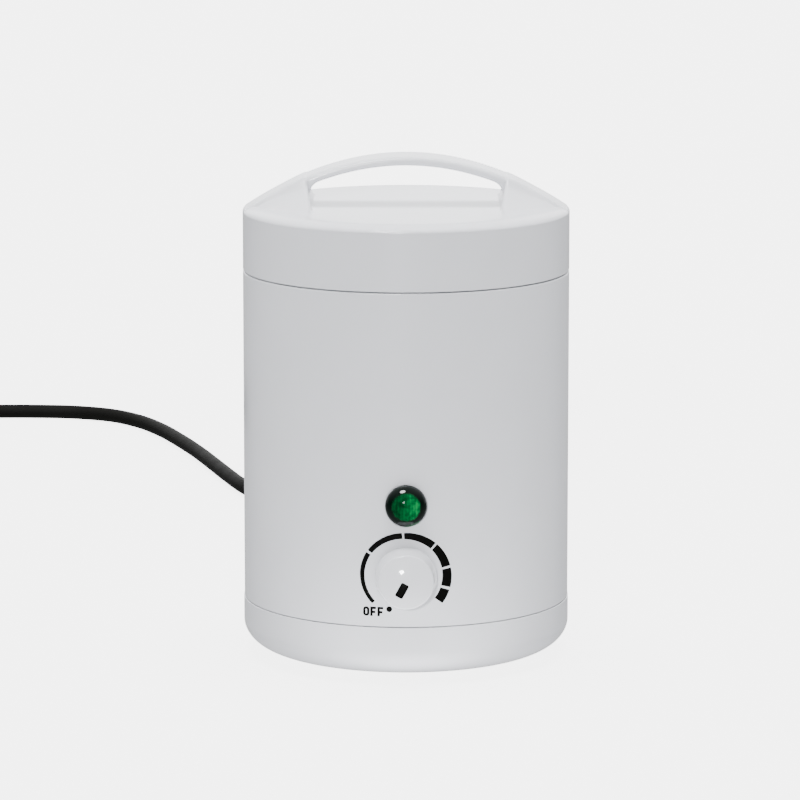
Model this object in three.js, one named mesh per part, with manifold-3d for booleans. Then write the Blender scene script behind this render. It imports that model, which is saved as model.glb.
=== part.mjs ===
// A wax heater for tins of depilatory wax: a round plastic casing on a screwed base, an
// aluminium well with a clamped band heater, a lift-off lid with a moulded arch handle, a
// thermostat knob and a pilot lamp in front, and a mains lead that lies behind it in a coil.
// Millimetres, +Z up, the front towards -Y, the feet on z = 0, the casing's axis on x = y = 0.

import * as THREE from 'three';
import { mergeVertices } from 'three/addons/utils/BufferGeometryUtils.js';
import Module from 'manifold-3d';

const wasm = await Module();
wasm.setup();

// Main sizes
const BODY_RADIUS = 60;
const CASING_HEIGHT = 121.3;
const BASE_HEIGHT = 19.3;
const LID_HEIGHT = 23.7;
const HANDLE_RISE = 18.4;
const FOOT_SHOW = 2;

// Clearances: GAP lies between pieces that touch, OVERRUN is how far a cutter passes a face
const GAP = 0.3;
const LID_GAP = 0.4;
const INLAY_GAP = 0.1;
const OVERRUN = 1;

// Sides of round pieces
const BODY_SIDES = 44;
const FRONT_SIDES = 24;
const BOSS_SIDES = 12;
const SCREW_SIDES = 8;
const WIRE_SIDES = 5;
const CORD_SIDES = 8;
const CORNER_STEPS = 3;

// Casing
const CASING_WALL = 2.5;
const CASING_EDGE = 0.5;
const REBATE_DEPTH = 5;
const LEDGE_WIDTH = 11.5;
const LEDGE_THICKNESS = 2.5;
const LEDGE_SLOPE_share = 0.35;
const PILLAR_FROM_WALL = 16.5;
const PILLAR_RADIUS = 4;
const PILLAR_LENGTH = 38;
const PILLAR_WEB = 2;
const PILOT_DEPTH = 13;
const SPOT_FACE_DEPTH = 0.6;

// Base
const BASE_PROUD = 0.2;
const BASE_WALL = 2.5;
const BASE_ROUND_WIDTH = 14.4;
const BASE_ROUND_HEIGHT = 10.5;
const TONGUE_HEIGHT = 3;
const TONGUE_THICKNESS = 2;
const TONGUE_CLEARANCE = 2.1;
const POST_RADIUS = 5;
const POST_HEIGHT = 9;
const POST_WEB = 2;
const POCKET_RADIUS = 3.8;
const VENT_COUNT = 5;
const VENT_LENGTH = 36;
const VENT_WIDTH = 2.6;
const VENT_PITCH = 5.5;
const VENT_CENTRE_Y = -13;

// Feet, pushed into holes in the base
const FOOT_FROM_EDGE = 27;
const FOOT_RADIUS = 6;
const FOOT_NECK_RADIUS = 2;
const FOOT_BARB_RADIUS = 2.7;
const FOOT_BARB_HEIGHT = 2.6;

// Fasteners
const BASE_SCREW_RADIUS = 1.45;
const BASE_SCREW_LENGTH = 13;
const BASE_SCREW_HEAD_RADIUS = 3.1;
const BASE_SCREW_HEAD_HEIGHT = 2.2;
const SCREW_CROWN_share = 0.7;
const SMALL_SCREW_RADIUS = 1.2;
const SMALL_SCREW_HEAD_RADIUS = 2.4;
const SMALL_SCREW_HEAD_HEIGHT = 1.6;

// Heating well
const WELL_CLEARANCE = 1.3;
const WELL_WALL = 1.2;
const SPACE_UNDER_WELL = 4.8;
const WELL_CORNER = 6;
const WELL_LIP = 1.2;
const WELL_SCREW_COUNT = 3;
const WELL_SCREW_FROM_WALL = 7.7;
const WELL_SCREW_LENGTH = 7;
const WELL_BOSS_RADIUS = 3.2;
const WELL_BOSS_LENGTH = 7;

// Band heater round the well and its clamp
const HEATER_THICKNESS = 1.6;
const HEATER_ABOVE_FLOOR = 19.8;
const HEATER_BELOW_FLANGE = 15;
const HEATER_OPENING = 13;
const CLAMP_THICKNESS = 0.8;
const CLAMP_HEIGHT = 12;
const CLAMP_EAR = 8;
const CLAMP_EAR_SPACING = 8;
const CLAMP_SCREW_RADIUS = 1.5;
const CLAMP_SCREW_HEAD_RADIUS = 2.8;
const CLAMP_SCREW_HEAD_HEIGHT = 2;
const CLAMP_SCREW_TAIL = 4;
const CLAMP_NUT_RADIUS = 3.1;
const CLAMP_NUT_HEIGHT = 2.2;

// Thermostat, its shaft and nut, and the knob
const THERMOSTAT_WIDTH = 26;
const THERMOSTAT_HEIGHT = 27;
const THERMOSTAT_DEPTH = 18;
const THERMOSTAT_EDGE = 1.5;
const BUSHING_RADIUS = 4.8;
const BUSHING_BEYOND_NUT = 0.7;
const PANEL_NUT_RADIUS = 6.9;
const PANEL_NUT_HEIGHT = 2;
const SHAFT_RADIUS = 2.9;
const SHAFT_FLAT = 0.8;
const SHAFT_IN_KNOB = 4;
const TAB_WIDTH = 6.3;
const TAB_THICKNESS = 0.8;
const TAB_LENGTH = 6;
const TAB_SPACING = 14;
const TAB_DROP = 7;
const KNOB_RADIUS = 11.2;
const KNOB_FACE_RADIUS = 10;
const KNOB_HEIGHT = 9.9;
const KNOB_STAND_OFF = 0.6;
const KNOB_DOME_RADIUS = 29;
const KNOB_EDGE = 1;
const KNOB_WALL = 1.8;
const KNOB_HUB_RADIUS = 5.2;
const KNOB_HUB_CLEAR = 0.5;
const POINTER_LENGTH = 5.4;
const POINTER_WIDTH = 2.8;
const POINTER_DEPTH = 0.9;
const POINTER_CORNER = 0.5;
const POINTER_CENTRE = 3.1;
const POINTER_OFF_DEGREES = 208;

// Sensing bulb and thermal fuse under the well
const BULB_RADIUS = 2.5;
const BULB_LENGTH = 40;
const BULB_Y = -10;
const BULB_SHIFT_X = -5;
const CAPILLARY_RADIUS = 0.8;
const CAPILLARY_FROM_AXIS = 8;
const FUSE_RADIUS = 2;
const FUSE_LENGTH = 12;
const FUSE_Y = 14;
const FUSE_LEAD_RADIUS = 0.6;
const FUSE_LEAD = 5;
const CLIP_THICKNESS = 0.6;
const CLIP_WIDTH = 7;
const CLIP_FOOT = 5;

// Pilot lamp
const LAMP_ABOVE_DIAL = 26.2;
const LENS_RADIUS = 7.6;
const LENS_HEIGHT = 4.4;
const LENS_RIM = 0.8;
const LENS_STEPS = 6;
const BARREL_RADIUS = 5.9;
const BARREL_WALL = 1.2;
const BARREL_LENGTH = 9;
const RETAINER_RADIUS = 8.6;
const RETAINER_THICKNESS = 0.6;
const RETAINER_SLOTS = 4;
const SOCKET_PLUG_LENGTH = 2.4;
const SOCKET_HEAD_HEIGHT = 1.2;
const NEON_RADIUS = 2.2;
const NEON_LENGTH = 6;
const LAMP_LEAD_RADIUS = 0.7;
const LAMP_LEAD_SPACING = 3;

// Terminal block on the base
const BLOCK_WIDTH = 22;
const BLOCK_DEPTH = 16;
const BLOCK_HEIGHT = 12;
const BLOCK_FROM_TAIL = 20;
const BLOCK_BOSS_HEIGHT = 5;
const BLOCK_BOSS_RADIUS = 4;
const POLE_SPACING = 11;
const TUNNEL_RADIUS = 2.4;
const TUNNEL_DEPTH = 5;
const TUNNEL_DROP = 6;
const POLE_SCREW_RADIUS = 1.8;
const POLE_SCREW_DEPTH = 3;
const BLOCK_NOTCH = 2;

// Mains lead inside: bore of the wall, clamp bar, cable tail and its cores
const CORD_RADIUS = 3.2;
const SHELF_THICKNESS = 5;
const SHELF_REACH = 15.5;
const SHELF_WIDTH = 26;
const CLAMP_BAR_WIDTH = 8;
const CLAMP_BAR_THICKNESS = 3;
const CLAMP_SCREW_SPACING = 18;
const CLAMP_POST_RADIUS = 3.6;
const CLAMP_POST_FROM_WALL = 10.5;
const TAIL_INSIDE = 21.5;
const CORE_RADIUS = 1.2;
const CORE_SPACING = 3.4;
const WIRE_BEND = 3;
const WIRE_ASIDE = 8;
const WIRE_STEP = 5;

// Strain relief in the back wall
const RELIEF_NECK_RADIUS = 5;
const RELIEF_FLANGE_RADIUS = 6.6;
const RELIEF_FLANGE_THICKNESS = 2;
const RELIEF_INSIDE = 3.2;
const RELIEF_TAIL = 10.3;
const RELIEF_TAIL_RADIUS = 5.4;
const RELIEF_TIP_RADIUS = 4.5;
const RELIEF_RIBS = 3;
const RELIEF_RIB_share = 0.7;
const RELIEF_GROOVE = 0.6;

// Lid
const LID_WALL = 2.5;
const LID_EDGE = 2.2;
const LID_SHOULDER = 7.5;
const SKIRT_DEPTH = 3.3;
const SKIRT_THICKNESS = 2;
const SKIRT_CLEARANCE = 0.5;
const SKIRT_ROOT = 3;
const STRAP_WIDTH = 18;
const HANDLE_REACH = 57.4;
const STRAP_THICKNESS = 3.2;
const WING_SPAN = 24;
const SLOT_NARROWING = 2.6;
const SLOT_LEAN = 1.4;
const WING_SINK = 0.2;
const WING_TIP_share = 0.8;
const STRAP_STEPS = 24;
const WING_FALL_POWER = 3.4;
const WING_RIDGE_share = 0.5;
const STRAP_CORNER_share = 0.44;

// Free mains lead: it drops from the strain relief to the floor and runs back and to the left
const COIL_RADIUS = 42;
const COIL_PITCH = 7;
const COIL_RISE = 6.9;
const COIL_TURNS = 4.25;
const COIL_LIFT = 0.8;
const COIL_CENTRE = [-247, 436];
const COIL_STEPS_A_TURN = 24;
const COIL_SIDES = 6;
const COIL_CLIMB_TURNS = 0.5;
const COIL_STRAIGHT_share = 0.007;
const COIL_MEASURING_POINTS = 600;
const TIE_WIDTH = 6;
const TIE_THICKNESS = 0.5;
const TIE_SLACK = 0.9;
const TIE_DEGREES = 315;
const CORD_END_LENGTH = 46;
const CORD_END_SLOPE_share = 0.62;
const CORD_END_STEPS = 8;
const FREE_ROUTE = [
  [0, 86, 32.8], [0, 99, 29.6], [0, 112, 22.6], [0, 125, 13.6], [-0.3, 139, 6.6],
  [-2, 154, 3.6], [-7, 172, 3.2], [-16, 191, 3.2], [-27, 210, 3.2], [-39, 230, 3.2],
  [-50, 251, 3.2], [-61, 274, 3.2], [-70.9, 298, 3.2], [-77.9, 321, 3.2], [-85.2, 347, 3.2],
  [-93.2, 375, 3.2], [-103, 405, 3.2], [-113.5, 433, 3.2], [-125, 455, 3.2],
  [-139, 470.5, 3.2], [-157, 478.6, 3.2], [-178, 481, 3.2], [-200, 480.4, 3.3],
  [-220, 479.1, 3.7],
];
const FREE_STEPS = 34;

// Plug with two round pins, lying flat
const PLUG_WIDTH = 35.3;
const PLUG_NECK_WIDTH = 15;
const PLUG_LENGTH = 34;
const PLUG_THICKNESS = 13.7;
const PLUG_EDGE = 1.6;
const PLUG_CHAMFER_START_share = 0.45;
const PLUG_TAIL_LENGTH = 22;
const PLUG_TAIL_RADIUS = 5.6;
const PLUG_TAIL_TIP_RADIUS = 4.4;
const PLUG_RIBS = 5;
const PLUG_RIB_share = 0.65;
const PLUG_GROOVE = 0.6;
const PIN_RADIUS = 2;
const PIN_LENGTH = 19;
const PIN_SPACING = 18.8;
const PIN_SEAT = 3;

// Levels and radii that follow
const BASE_BOTTOM = FOOT_SHOW;
const BASE_FLOOR = BASE_BOTTOM + BASE_WALL;
const BASE_TOP = BASE_BOTTOM + BASE_HEIGHT;
const ABOVE_TONGUE = BASE_TOP + TONGUE_HEIGHT + TONGUE_CLEARANCE;
const DIAL_Z = ABOVE_TONGUE + THERMOSTAT_HEIGHT / 2;
const LAMP_Z = DIAL_Z + LAMP_ABOVE_DIAL;
const CORD_EXIT_Z = ABOVE_TONGUE + RELIEF_FLANGE_RADIUS;
const CASING_BOTTOM = BASE_TOP + GAP;
const CASING_TOP = CASING_BOTTOM + CASING_HEIGHT;
const LID_BOTTOM = CASING_TOP + LID_GAP;
const DECK = LID_BOTTOM + LID_HEIGHT;
const CASING_INSIDE = BODY_RADIUS - CASING_WALL;
const BASE_RADIUS = BODY_RADIUS + BASE_PROUD;
const LEDGE_TOP = CASING_TOP - REBATE_DEPTH;
const FLANGE_UNDER = LEDGE_TOP + GAP;
const FLANGE_TOP = FLANGE_UNDER + WELL_WALL;
const FLANGE_RADIUS = CASING_INSIDE - GAP;
const WELL_OUTSIDE = CASING_INSIDE - LEDGE_WIDTH - WELL_CLEARANCE;
const WELL_RADIUS = WELL_OUTSIDE - WELL_WALL;
const WELL_UNDER = DIAL_Z + THERMOSTAT_HEIGHT / 2 + SPACE_UNDER_WELL;
const WELL_FLOOR = WELL_UNDER + WELL_WALL;
const POST_TOP = BASE_FLOOR + POST_HEIGHT;
const PILLAR_BOTTOM = POST_TOP + GAP;
const SPOT_FACE_Y = BODY_RADIUS - SPOT_FACE_DEPTH;
const HEATER_INSIDE = WELL_OUTSIDE + GAP;
const HEATER_OUTSIDE = HEATER_INSIDE + HEATER_THICKNESS;
const HEATER_BOTTOM = WELL_FLOOR + HEATER_ABOVE_FLOOR;
const HEATER_HEIGHT = FLANGE_UNDER - HEATER_BELOW_FLANGE - HEATER_BOTTOM;
const CLAMP_Z = HEATER_BOTTOM + HEATER_HEIGHT / 2;
const COIL_LOW = CORD_RADIUS + COIL_LIFT;
const THERMOSTAT_FRONT = Math.sqrt(CASING_INSIDE ** 2 - (THERMOSTAT_WIDTH / 2) ** 2) - GAP;
const THERMOSTAT_BACK = THERMOSTAT_FRONT - THERMOSTAT_DEPTH;
const RELIEF_OUTER_FACE = BODY_RADIUS + GAP;
const RELIEF_TIP = RELIEF_OUTER_FACE + RELIEF_FLANGE_THICKNESS + RELIEF_TAIL;
const TAIL_END_Y = CASING_INSIDE - TAIL_INSIDE;
const BLOCK_CENTRE_Y = TAIL_END_Y - BLOCK_FROM_TAIL;
const PLUG_AXIS_Z = PLUG_THICKNESS / 2;

const FULL_TURN = 2 * Math.PI;
const QUARTER_TURN = Math.PI / 2;
const radians = THREE.MathUtils.degToRad;

// Materials
const plastic = (color, roughness) => new THREE.MeshStandardMaterial({ color, roughness });
const metal = (color, roughness) =>
  new THREE.MeshStandardMaterial({ color, roughness, metalness: 1 });
const WHITE = plastic(0xd9dbe0, 0.22);
const BLACK_INLAY = plastic(0x101010, 0.5);
const GREEN_LENS = new THREE.MeshStandardMaterial({
  color: 0x066a30, roughness: 0.12, transparent: true, opacity: 0.85,
});
const ALUMINIUM = metal(0xc2c4c6, 0.35);
const STEEL = metal(0x9a9c9f, 0.4);
const BRASS = metal(0xc8a85a, 0.35);
const COPPER = metal(0xb4683c, 0.4);
const GLASS_CLOTH = plastic(0xcfc6ae, 0.9);
const BAKELITE = plastic(0x2a2420, 0.55);
const NYLON = plastic(0xdcd8c8, 0.5);
const RUBBER = plastic(0x1c1c1b, 0.8);
const CORD_BLACK = plastic(0x2c2c29, 0.55);
const BROWN_WIRE = plastic(0x5a3018, 0.5);
const BLUE_WIRE = plastic(0x1c4c9a, 0.5);
const SLEEVE_WHITE = plastic(0xe4e0d4, 0.8);
const NEON_GLASS = plastic(0xe8b890, 0.1);

// Geometry helpers. A solid is kept as a manifold while it is cut and joined.

function toSolid(geometry) {
  const bare = geometry.clone();
  bare.deleteAttribute('normal');
  bare.deleteAttribute('uv');
  const merged = mergeVertices(bare, 1e-4);
  return new wasm.Manifold(new wasm.Mesh({
    numProp: 3,
    vertProperties: new Float32Array(merged.attributes.position.array),
    triVerts: new Uint32Array(merged.index.array),
  }));
}

function toGeometry(solid) {
  const { vertProperties, triVerts, numProp } = solid.getMesh();
  const geometry = new THREE.BufferGeometry();
  const positions = new Float32Array((vertProperties.length / numProp) * 3);
  for (let i = 0; i < positions.length; i += 1) {
    const corner = Math.floor(i / 3);
    positions[i] = vertProperties[corner * numProp + (i % 3)];
  }
  geometry.setAttribute('position', new THREE.BufferAttribute(positions, 3));
  geometry.setIndex(Array.from(triVerts));
  return geometry;
}

const join = (first, ...rest) => rest.reduce((sum, solid) => sum.add(solid), first);
const cut = (first, ...rest) => rest.reduce((left, solid) => left.subtract(solid), first);

// A closed outline of [radius, height] points, turned round the Z axis
function turned(points, sides) {
  let area = 0;
  points.forEach(([r, z], i) => {
    const [nextR, nextZ] = points[(i + 1) % points.length];
    area += r * nextZ - nextR * z;
  });
  const outline = area > 0 ? [...points] : [...points].reverse();
  const [firstR] = outline[0];
  const [lastR] = outline[outline.length - 1];
  if (firstR !== 0 || lastR !== 0) {
    const onAxis = outline.findIndex(([r], i) => r === 0 && outline.at(i - 1)[0] === 0);
    outline.push(...outline.splice(0, Math.max(onAxis, 0)));
    if (onAxis < 0) outline.push(outline[0]);
  }
  const profile = outline.map(([r, z]) => new THREE.Vector2(r, z));
  return new THREE.LatheGeometry(profile, sides).rotateX(QUARTER_TURN);
}

// An arc of an ellipse as [radius, height] points, angles in degrees
function arc(centreR, centreZ, radiusR, radiusZ, from, to, steps = CORNER_STEPS) {
  return Array.from({ length: steps + 1 }, (_, i) => {
    const angle = radians(from + ((to - from) * i) / steps);
    return [centreR + radiusR * Math.cos(angle), centreZ + radiusZ * Math.sin(angle)];
  });
}

// A cylinder that stands on its lower height
function post(radius, bottom, top, sides = BOSS_SIDES) {
  return turned([[0, bottom], [radius, bottom], [radius, top], [0, top]], sides);
}

// A box from its lowest corner to its highest
function block(low, high) {
  const size = high.map((value, i) => value - low[i]);
  const middle = high.map((value, i) => (value + low[i]) / 2);
  return new THREE.BoxGeometry(...size).translate(...middle);
}

// A flat outline, extruded upwards from a height
function plate(points, bottom, thickness) {
  const shape = new THREE.Shape(points.map(([x, y]) => new THREE.Vector2(x, y)));
  const geometry = new THREE.ExtrudeGeometry(shape, { depth: thickness, bevelEnabled: false });
  return geometry.translate(0, 0, bottom);
}

// A rectangle with round corners, as points round its centre
function roundedRectangle(width, height, corner, steps = CORNER_STEPS) {
  const x = width / 2 - corner;
  const y = height / 2 - corner;
  return [
    ...arc(x, y, corner, corner, 0, 90, steps), ...arc(-x, y, corner, corner, 90, 180, steps),
    ...arc(-x, -y, corner, corner, 180, 270, steps),
    ...arc(x, -y, corner, corner, 270, 360, steps),
  ];
}

// A tube of flat sides along a curve
function tube(curve, radius, steps, sides) {
  const ring = Array.from({ length: sides }, (_, i) => {
    const angle = (FULL_TURN * (i + 1 / 2)) / sides;
    return new THREE.Vector2(radius * Math.cos(angle), radius * Math.sin(angle));
  });
  return new THREE.ExtrudeGeometry(new THREE.Shape(ring), { steps, extrudePath: curve });
}

const smooth = (points) => new THREE.CatmullRomCurve3(
  points.map((point) => new THREE.Vector3(...point)), false, 'centripetal',
);

// A closed slab between two grids of points that share their parameters
function slab(us, vs, upper, lower) {
  const positions = [];
  const faces = [];
  const layer = us.length * vs.length;
  [upper, lower].forEach((surface) => us.forEach((u) => vs.forEach((v) => {
    positions.push(...surface(u, v));
  })));
  const at = (i, j, below) => i * vs.length + j + (below ? layer : 0);
  const quad = (a, b, c, d) => faces.push(a, b, c, a, c, d);
  for (let i = 0; i + 1 < us.length; i += 1) {
    for (let j = 0; j + 1 < vs.length; j += 1) {
      quad(at(i, j), at(i + 1, j), at(i + 1, j + 1), at(i, j + 1));
      quad(at(i, j, true), at(i, j + 1, true), at(i + 1, j + 1, true), at(i + 1, j, true));
    }
    const last = vs.length - 1;
    quad(at(i, 0), at(i, 0, true), at(i + 1, 0, true), at(i + 1, 0));
    quad(at(i, last), at(i + 1, last), at(i + 1, last, true), at(i, last, true));
  }
  for (let j = 0; j + 1 < vs.length; j += 1) {
    const last = us.length - 1;
    quad(at(0, j), at(0, j + 1), at(0, j + 1, true), at(0, j, true));
    quad(at(last, j), at(last, j, true), at(last, j + 1, true), at(last, j + 1));
  }
  const geometry = new THREE.BufferGeometry();
  geometry.setAttribute('position', new THREE.Float32BufferAttribute(positions, 3));
  geometry.setIndex(faces);
  return geometry;
}

// A pan-head screw: the head above z = 0, the shank below
function screw(radius, length, headRadius, headHeight) {
  return turned([
    [0, -length], [radius / 2, -length], [radius, radius - length], [radius, 0],
    [headRadius, 0], [headRadius, headHeight / 2], [headRadius * SCREW_CROWN_share, headHeight],
    [0, headHeight],
  ], SCREW_SIDES);
}

const heater = new THREE.Group();

function add(name, shape, material, group = heater) {
  const mesh = new THREE.Mesh(shape.isBufferGeometry ? shape : toGeometry(shape), material);
  mesh.name = name;
  group.add(mesh);
  return mesh;
}

// Points of a ring round the Z axis
function ringOf(count, radius, start = 0) {
  return Array.from({ length: count }, (_, i) => {
    const angle = start + (FULL_TURN * i) / count;
    return { angle, x: radius * Math.cos(angle), y: radius * Math.sin(angle) };
  });
}

// Groups whose own +Z points out of the front or the back wall, and +Y up or down
function facing(direction, height) {
  const group = new THREE.Group();
  group.rotation.x = direction * QUARTER_TURN;
  group.position.z = height;
  heater.add(group);
  return group;
}
const dial = facing(1, DIAL_Z);
const lamp = facing(1, LAMP_Z);
const outlet = facing(-1, CORD_EXIT_Z);

const pillars = ringOf(4, CASING_INSIDE - PILLAR_FROM_WALL, QUARTER_TURN / 2);
const feet = ringOf(4, BODY_RADIUS - FOOT_FROM_EDGE);
const wellScrews = ringOf(
  WELL_SCREW_COUNT, CASING_INSIDE - WELL_SCREW_FROM_WALL, QUARTER_TURN / 3,
);
const CLAMP_POST_Y = CASING_INSIDE - CLAMP_POST_FROM_WALL;
const SHELF_UNDER = CORD_EXIT_Z + CORD_RADIUS + GAP;
const CLAMP_BAR_TOP = CORD_EXIT_Z - CORD_RADIUS - GAP;
const clampSides = [-1, 1].map((side) => (side * CLAMP_SCREW_SPACING) / 2);
const SMALL_PILOT = SMALL_SCREW_RADIUS + GAP;

// The strain relief's inner flange lies against the curved wall inside
const RELIEF_FLANGE_FACE = Math.sqrt(CASING_INSIDE ** 2 - RELIEF_FLANGE_RADIUS ** 2) - GAP;
const RELIEF_START = RELIEF_FLANGE_FACE - RELIEF_FLANGE_THICKNESS - RELIEF_INSIDE;

// Casing: a tube with a rebate for the well's flange and the lid's skirt, pillars for the
// base screws, bosses for the well screws, a shelf for the cord clamp and three wall holes

function casingShell() {
  const ledgeInside = CASING_INSIDE - LEDGE_WIDTH;
  const ledgeUnder = LEDGE_TOP - LEDGE_THICKNESS;
  return toSolid(turned([
    [BODY_RADIUS, CASING_BOTTOM], [BODY_RADIUS, CASING_TOP - CASING_EDGE],
    [BODY_RADIUS - CASING_EDGE, CASING_TOP], [CASING_INSIDE, CASING_TOP],
    [CASING_INSIDE, LEDGE_TOP], [ledgeInside, LEDGE_TOP], [ledgeInside, ledgeUnder],
    [CASING_INSIDE, ledgeUnder - LEDGE_WIDTH * LEDGE_SLOPE_share],
    [CASING_INSIDE, CASING_BOTTOM],
  ], BODY_SIDES));
}

function casingPillar({ angle, x, y }) {
  const top = PILLAR_BOTTOM + PILLAR_LENGTH;
  const webBottom = BASE_TOP + TONGUE_HEIGHT + OVERRUN;
  const reach = PILLAR_FROM_WALL + CASING_WALL / 2;
  const web = block([0, -PILLAR_WEB / 2, webBottom], [reach, PILLAR_WEB / 2, top]);
  const body = toSolid(post(PILLAR_RADIUS, PILLAR_BOTTOM, top).translate(x, y, 0));
  return join(body, toSolid(web.rotateZ(angle).translate(x, y, 0)));
}

function casingShelf() {
  const far = CASING_INSIDE + CASING_WALL / 2;
  const shelf = toSolid(block(
    [-SHELF_WIDTH / 2, CASING_INSIDE - SHELF_REACH, SHELF_UNDER],
    [SHELF_WIDTH / 2, far, SHELF_UNDER + SHELF_THICKNESS],
  ));
  const inRound = toSolid(post(
    BODY_RADIUS - CASING_WALL / 2, SHELF_UNDER - OVERRUN,
    SHELF_UNDER + SHELF_THICKNESS + OVERRUN, BODY_SIDES,
  ));
  const posts = clampSides.map((x) => toSolid(post(
    CLAMP_POST_RADIUS, CLAMP_BAR_TOP + GAP, SHELF_UNDER + SHELF_THICKNESS / 2,
  ).translate(x, CLAMP_POST_Y, 0)));
  outlet.updateMatrix();
  const pocket = toSolid(post(
    RELIEF_FLANGE_RADIUS + GAP, RELIEF_START - GAP, RELIEF_FLANGE_FACE + GAP / 2,
  ).applyMatrix4(outlet.matrix));
  return cut(join(shelf.intersect(inRound), ...posts), pocket);
}

// A round hole through a wall, from the axis outwards, and its flat seat on the outside
function wallHole(group, radius, seatRadius) {
  const hole = post(radius, CASING_INSIDE - CASING_WALL, BODY_RADIUS + OVERRUN, FRONT_SIDES);
  group.updateMatrix();
  const cutters = [hole];
  if (seatRadius) {
    cutters.push(post(seatRadius, SPOT_FACE_Y, BODY_RADIUS + OVERRUN, FRONT_SIDES));
  }
  return cutters.map((cutter) => toSolid(cutter.applyMatrix4(group.matrix)));
}

function addCasing() {
  const bosses = wellScrews.map(({ x, y }) => toSolid(post(
    WELL_BOSS_RADIUS, LEDGE_TOP - LEDGE_THICKNESS - WELL_BOSS_LENGTH,
    LEDGE_TOP - LEDGE_THICKNESS / 2,
  ).translate(x, y, 0)));
  const body = join(casingShell(), ...pillars.map(casingPillar), casingShelf(), ...bosses);
  const basePilot = BASE_SCREW_RADIUS + GAP;
  const pilots = pillars.map(({ x, y }) => post(
    basePilot, PILLAR_BOTTOM - OVERRUN, PILLAR_BOTTOM + PILOT_DEPTH, SCREW_SIDES,
  ).translate(x, y, 0));
  const wellPilots = wellScrews.map(({ x, y }) => post(
    SMALL_PILOT, LEDGE_TOP - WELL_SCREW_LENGTH, LEDGE_TOP + OVERRUN, SCREW_SIDES,
  ).translate(x, y, 0));
  const clampPilots = clampSides.map((x) => post(
    SMALL_PILOT, CLAMP_BAR_TOP, SHELF_UNDER + SHELF_THICKNESS / 2, SCREW_SIDES,
  ).translate(x, CLAMP_POST_Y, 0));
  const cutters = [
    ...[...pilots, ...wellPilots, ...clampPilots].map(toSolid),
    ...wallHole(dial, BUSHING_RADIUS + GAP, PANEL_NUT_RADIUS + GAP),
    ...wallHole(lamp, BARREL_RADIUS + GAP, LENS_RADIUS + GAP),
    ...wallHole(outlet, RELIEF_NECK_RADIUS + GAP),
  ];
  add('casing', cut(body, ...cutters), WHITE);
}

// Base: a dish with a rounded bottom edge, a tongue inside the casing, hollow screw posts,
// vents, foot holes and a boss for the terminal block

function baseDish() {
  const flat = BASE_RADIUS - BASE_ROUND_WIDTH;
  const roundTop = BASE_BOTTOM + BASE_ROUND_HEIGHT;
  const inside = BASE_RADIUS - BASE_WALL;
  const tongueOutside = CASING_INSIDE - GAP;
  const tongueInside = tongueOutside - TONGUE_THICKNESS;
  const steps = 2 * CORNER_STEPS - 1;
  return toSolid(turned([
    [0, BASE_BOTTOM],
    ...arc(flat, roundTop, BASE_ROUND_WIDTH, BASE_ROUND_HEIGHT, -90, 0, steps),
    [BASE_RADIUS, BASE_TOP], [tongueOutside, BASE_TOP],
    [tongueOutside, BASE_TOP + TONGUE_HEIGHT], [tongueInside, BASE_TOP + TONGUE_HEIGHT],
    [tongueInside, BASE_TOP - TONGUE_HEIGHT],
    [inside, BASE_TOP - TONGUE_HEIGHT - TONGUE_THICKNESS],
    ...arc(flat, roundTop, inside - flat, BASE_ROUND_HEIGHT - BASE_WALL, 0, -90),
    [0, BASE_FLOOR],
  ], BODY_SIDES));
}

function addBase() {
  const posts = pillars.map(({ x, y }) => toSolid(
    post(POST_RADIUS, BASE_BOTTOM + BASE_WALL / 2, POST_TOP).translate(x, y, 0),
  ));
  const blockBoss = toSolid(post(
    BLOCK_BOSS_RADIUS, BASE_BOTTOM + BASE_WALL / 2, BASE_FLOOR + BLOCK_BOSS_HEIGHT,
  ).translate(0, BLOCK_CENTRE_Y, 0));
  const dish = join(baseDish(), ...posts, blockBoss);
  const below = BASE_BOTTOM - OVERRUN;
  const pockets = pillars.flatMap(({ x, y }) => [
    post(POCKET_RADIUS, below, POST_TOP - POST_WEB).translate(x, y, 0),
    post(BASE_SCREW_RADIUS + GAP, below, POST_TOP + OVERRUN, SCREW_SIDES).translate(x, y, 0),
  ]);
  const footHoles = feet.map(({ x, y }) => post(
    FOOT_NECK_RADIUS + GAP, below, BASE_FLOOR + OVERRUN,
  ).translate(x, y, 0));
  const ventSlot = roundedRectangle(VENT_LENGTH, VENT_WIDTH, VENT_WIDTH / 2);
  const vents = Array.from({ length: VENT_COUNT }, (_, i) => {
    const y = VENT_CENTRE_Y + (i - (VENT_COUNT - 1) / 2) * VENT_PITCH;
    return plate(ventSlot, below, BASE_WALL + 2 * OVERRUN).translate(0, y, 0);
  });
  const blockPilot = post(
    SMALL_PILOT, BASE_FLOOR, BASE_FLOOR + BLOCK_BOSS_HEIGHT + OVERRUN, SCREW_SIDES,
  ).translate(0, BLOCK_CENTRE_Y, 0);
  const cutters = [...pockets, ...footHoles, ...vents, blockPilot].map(toSolid);
  add('base_cover', cut(dish, ...cutters), WHITE);
}

function addBaseScrews() {
  pillars.forEach(({ x, y }, i) => {
    const mesh = add(`base_screw_${i + 1}`, screw(
      BASE_SCREW_RADIUS, BASE_SCREW_LENGTH, BASE_SCREW_HEAD_RADIUS, BASE_SCREW_HEAD_HEIGHT,
    ), STEEL);
    mesh.position.set(x, y, POST_TOP - POST_WEB - GAP);
    mesh.rotation.x = Math.PI;
  });
}

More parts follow.
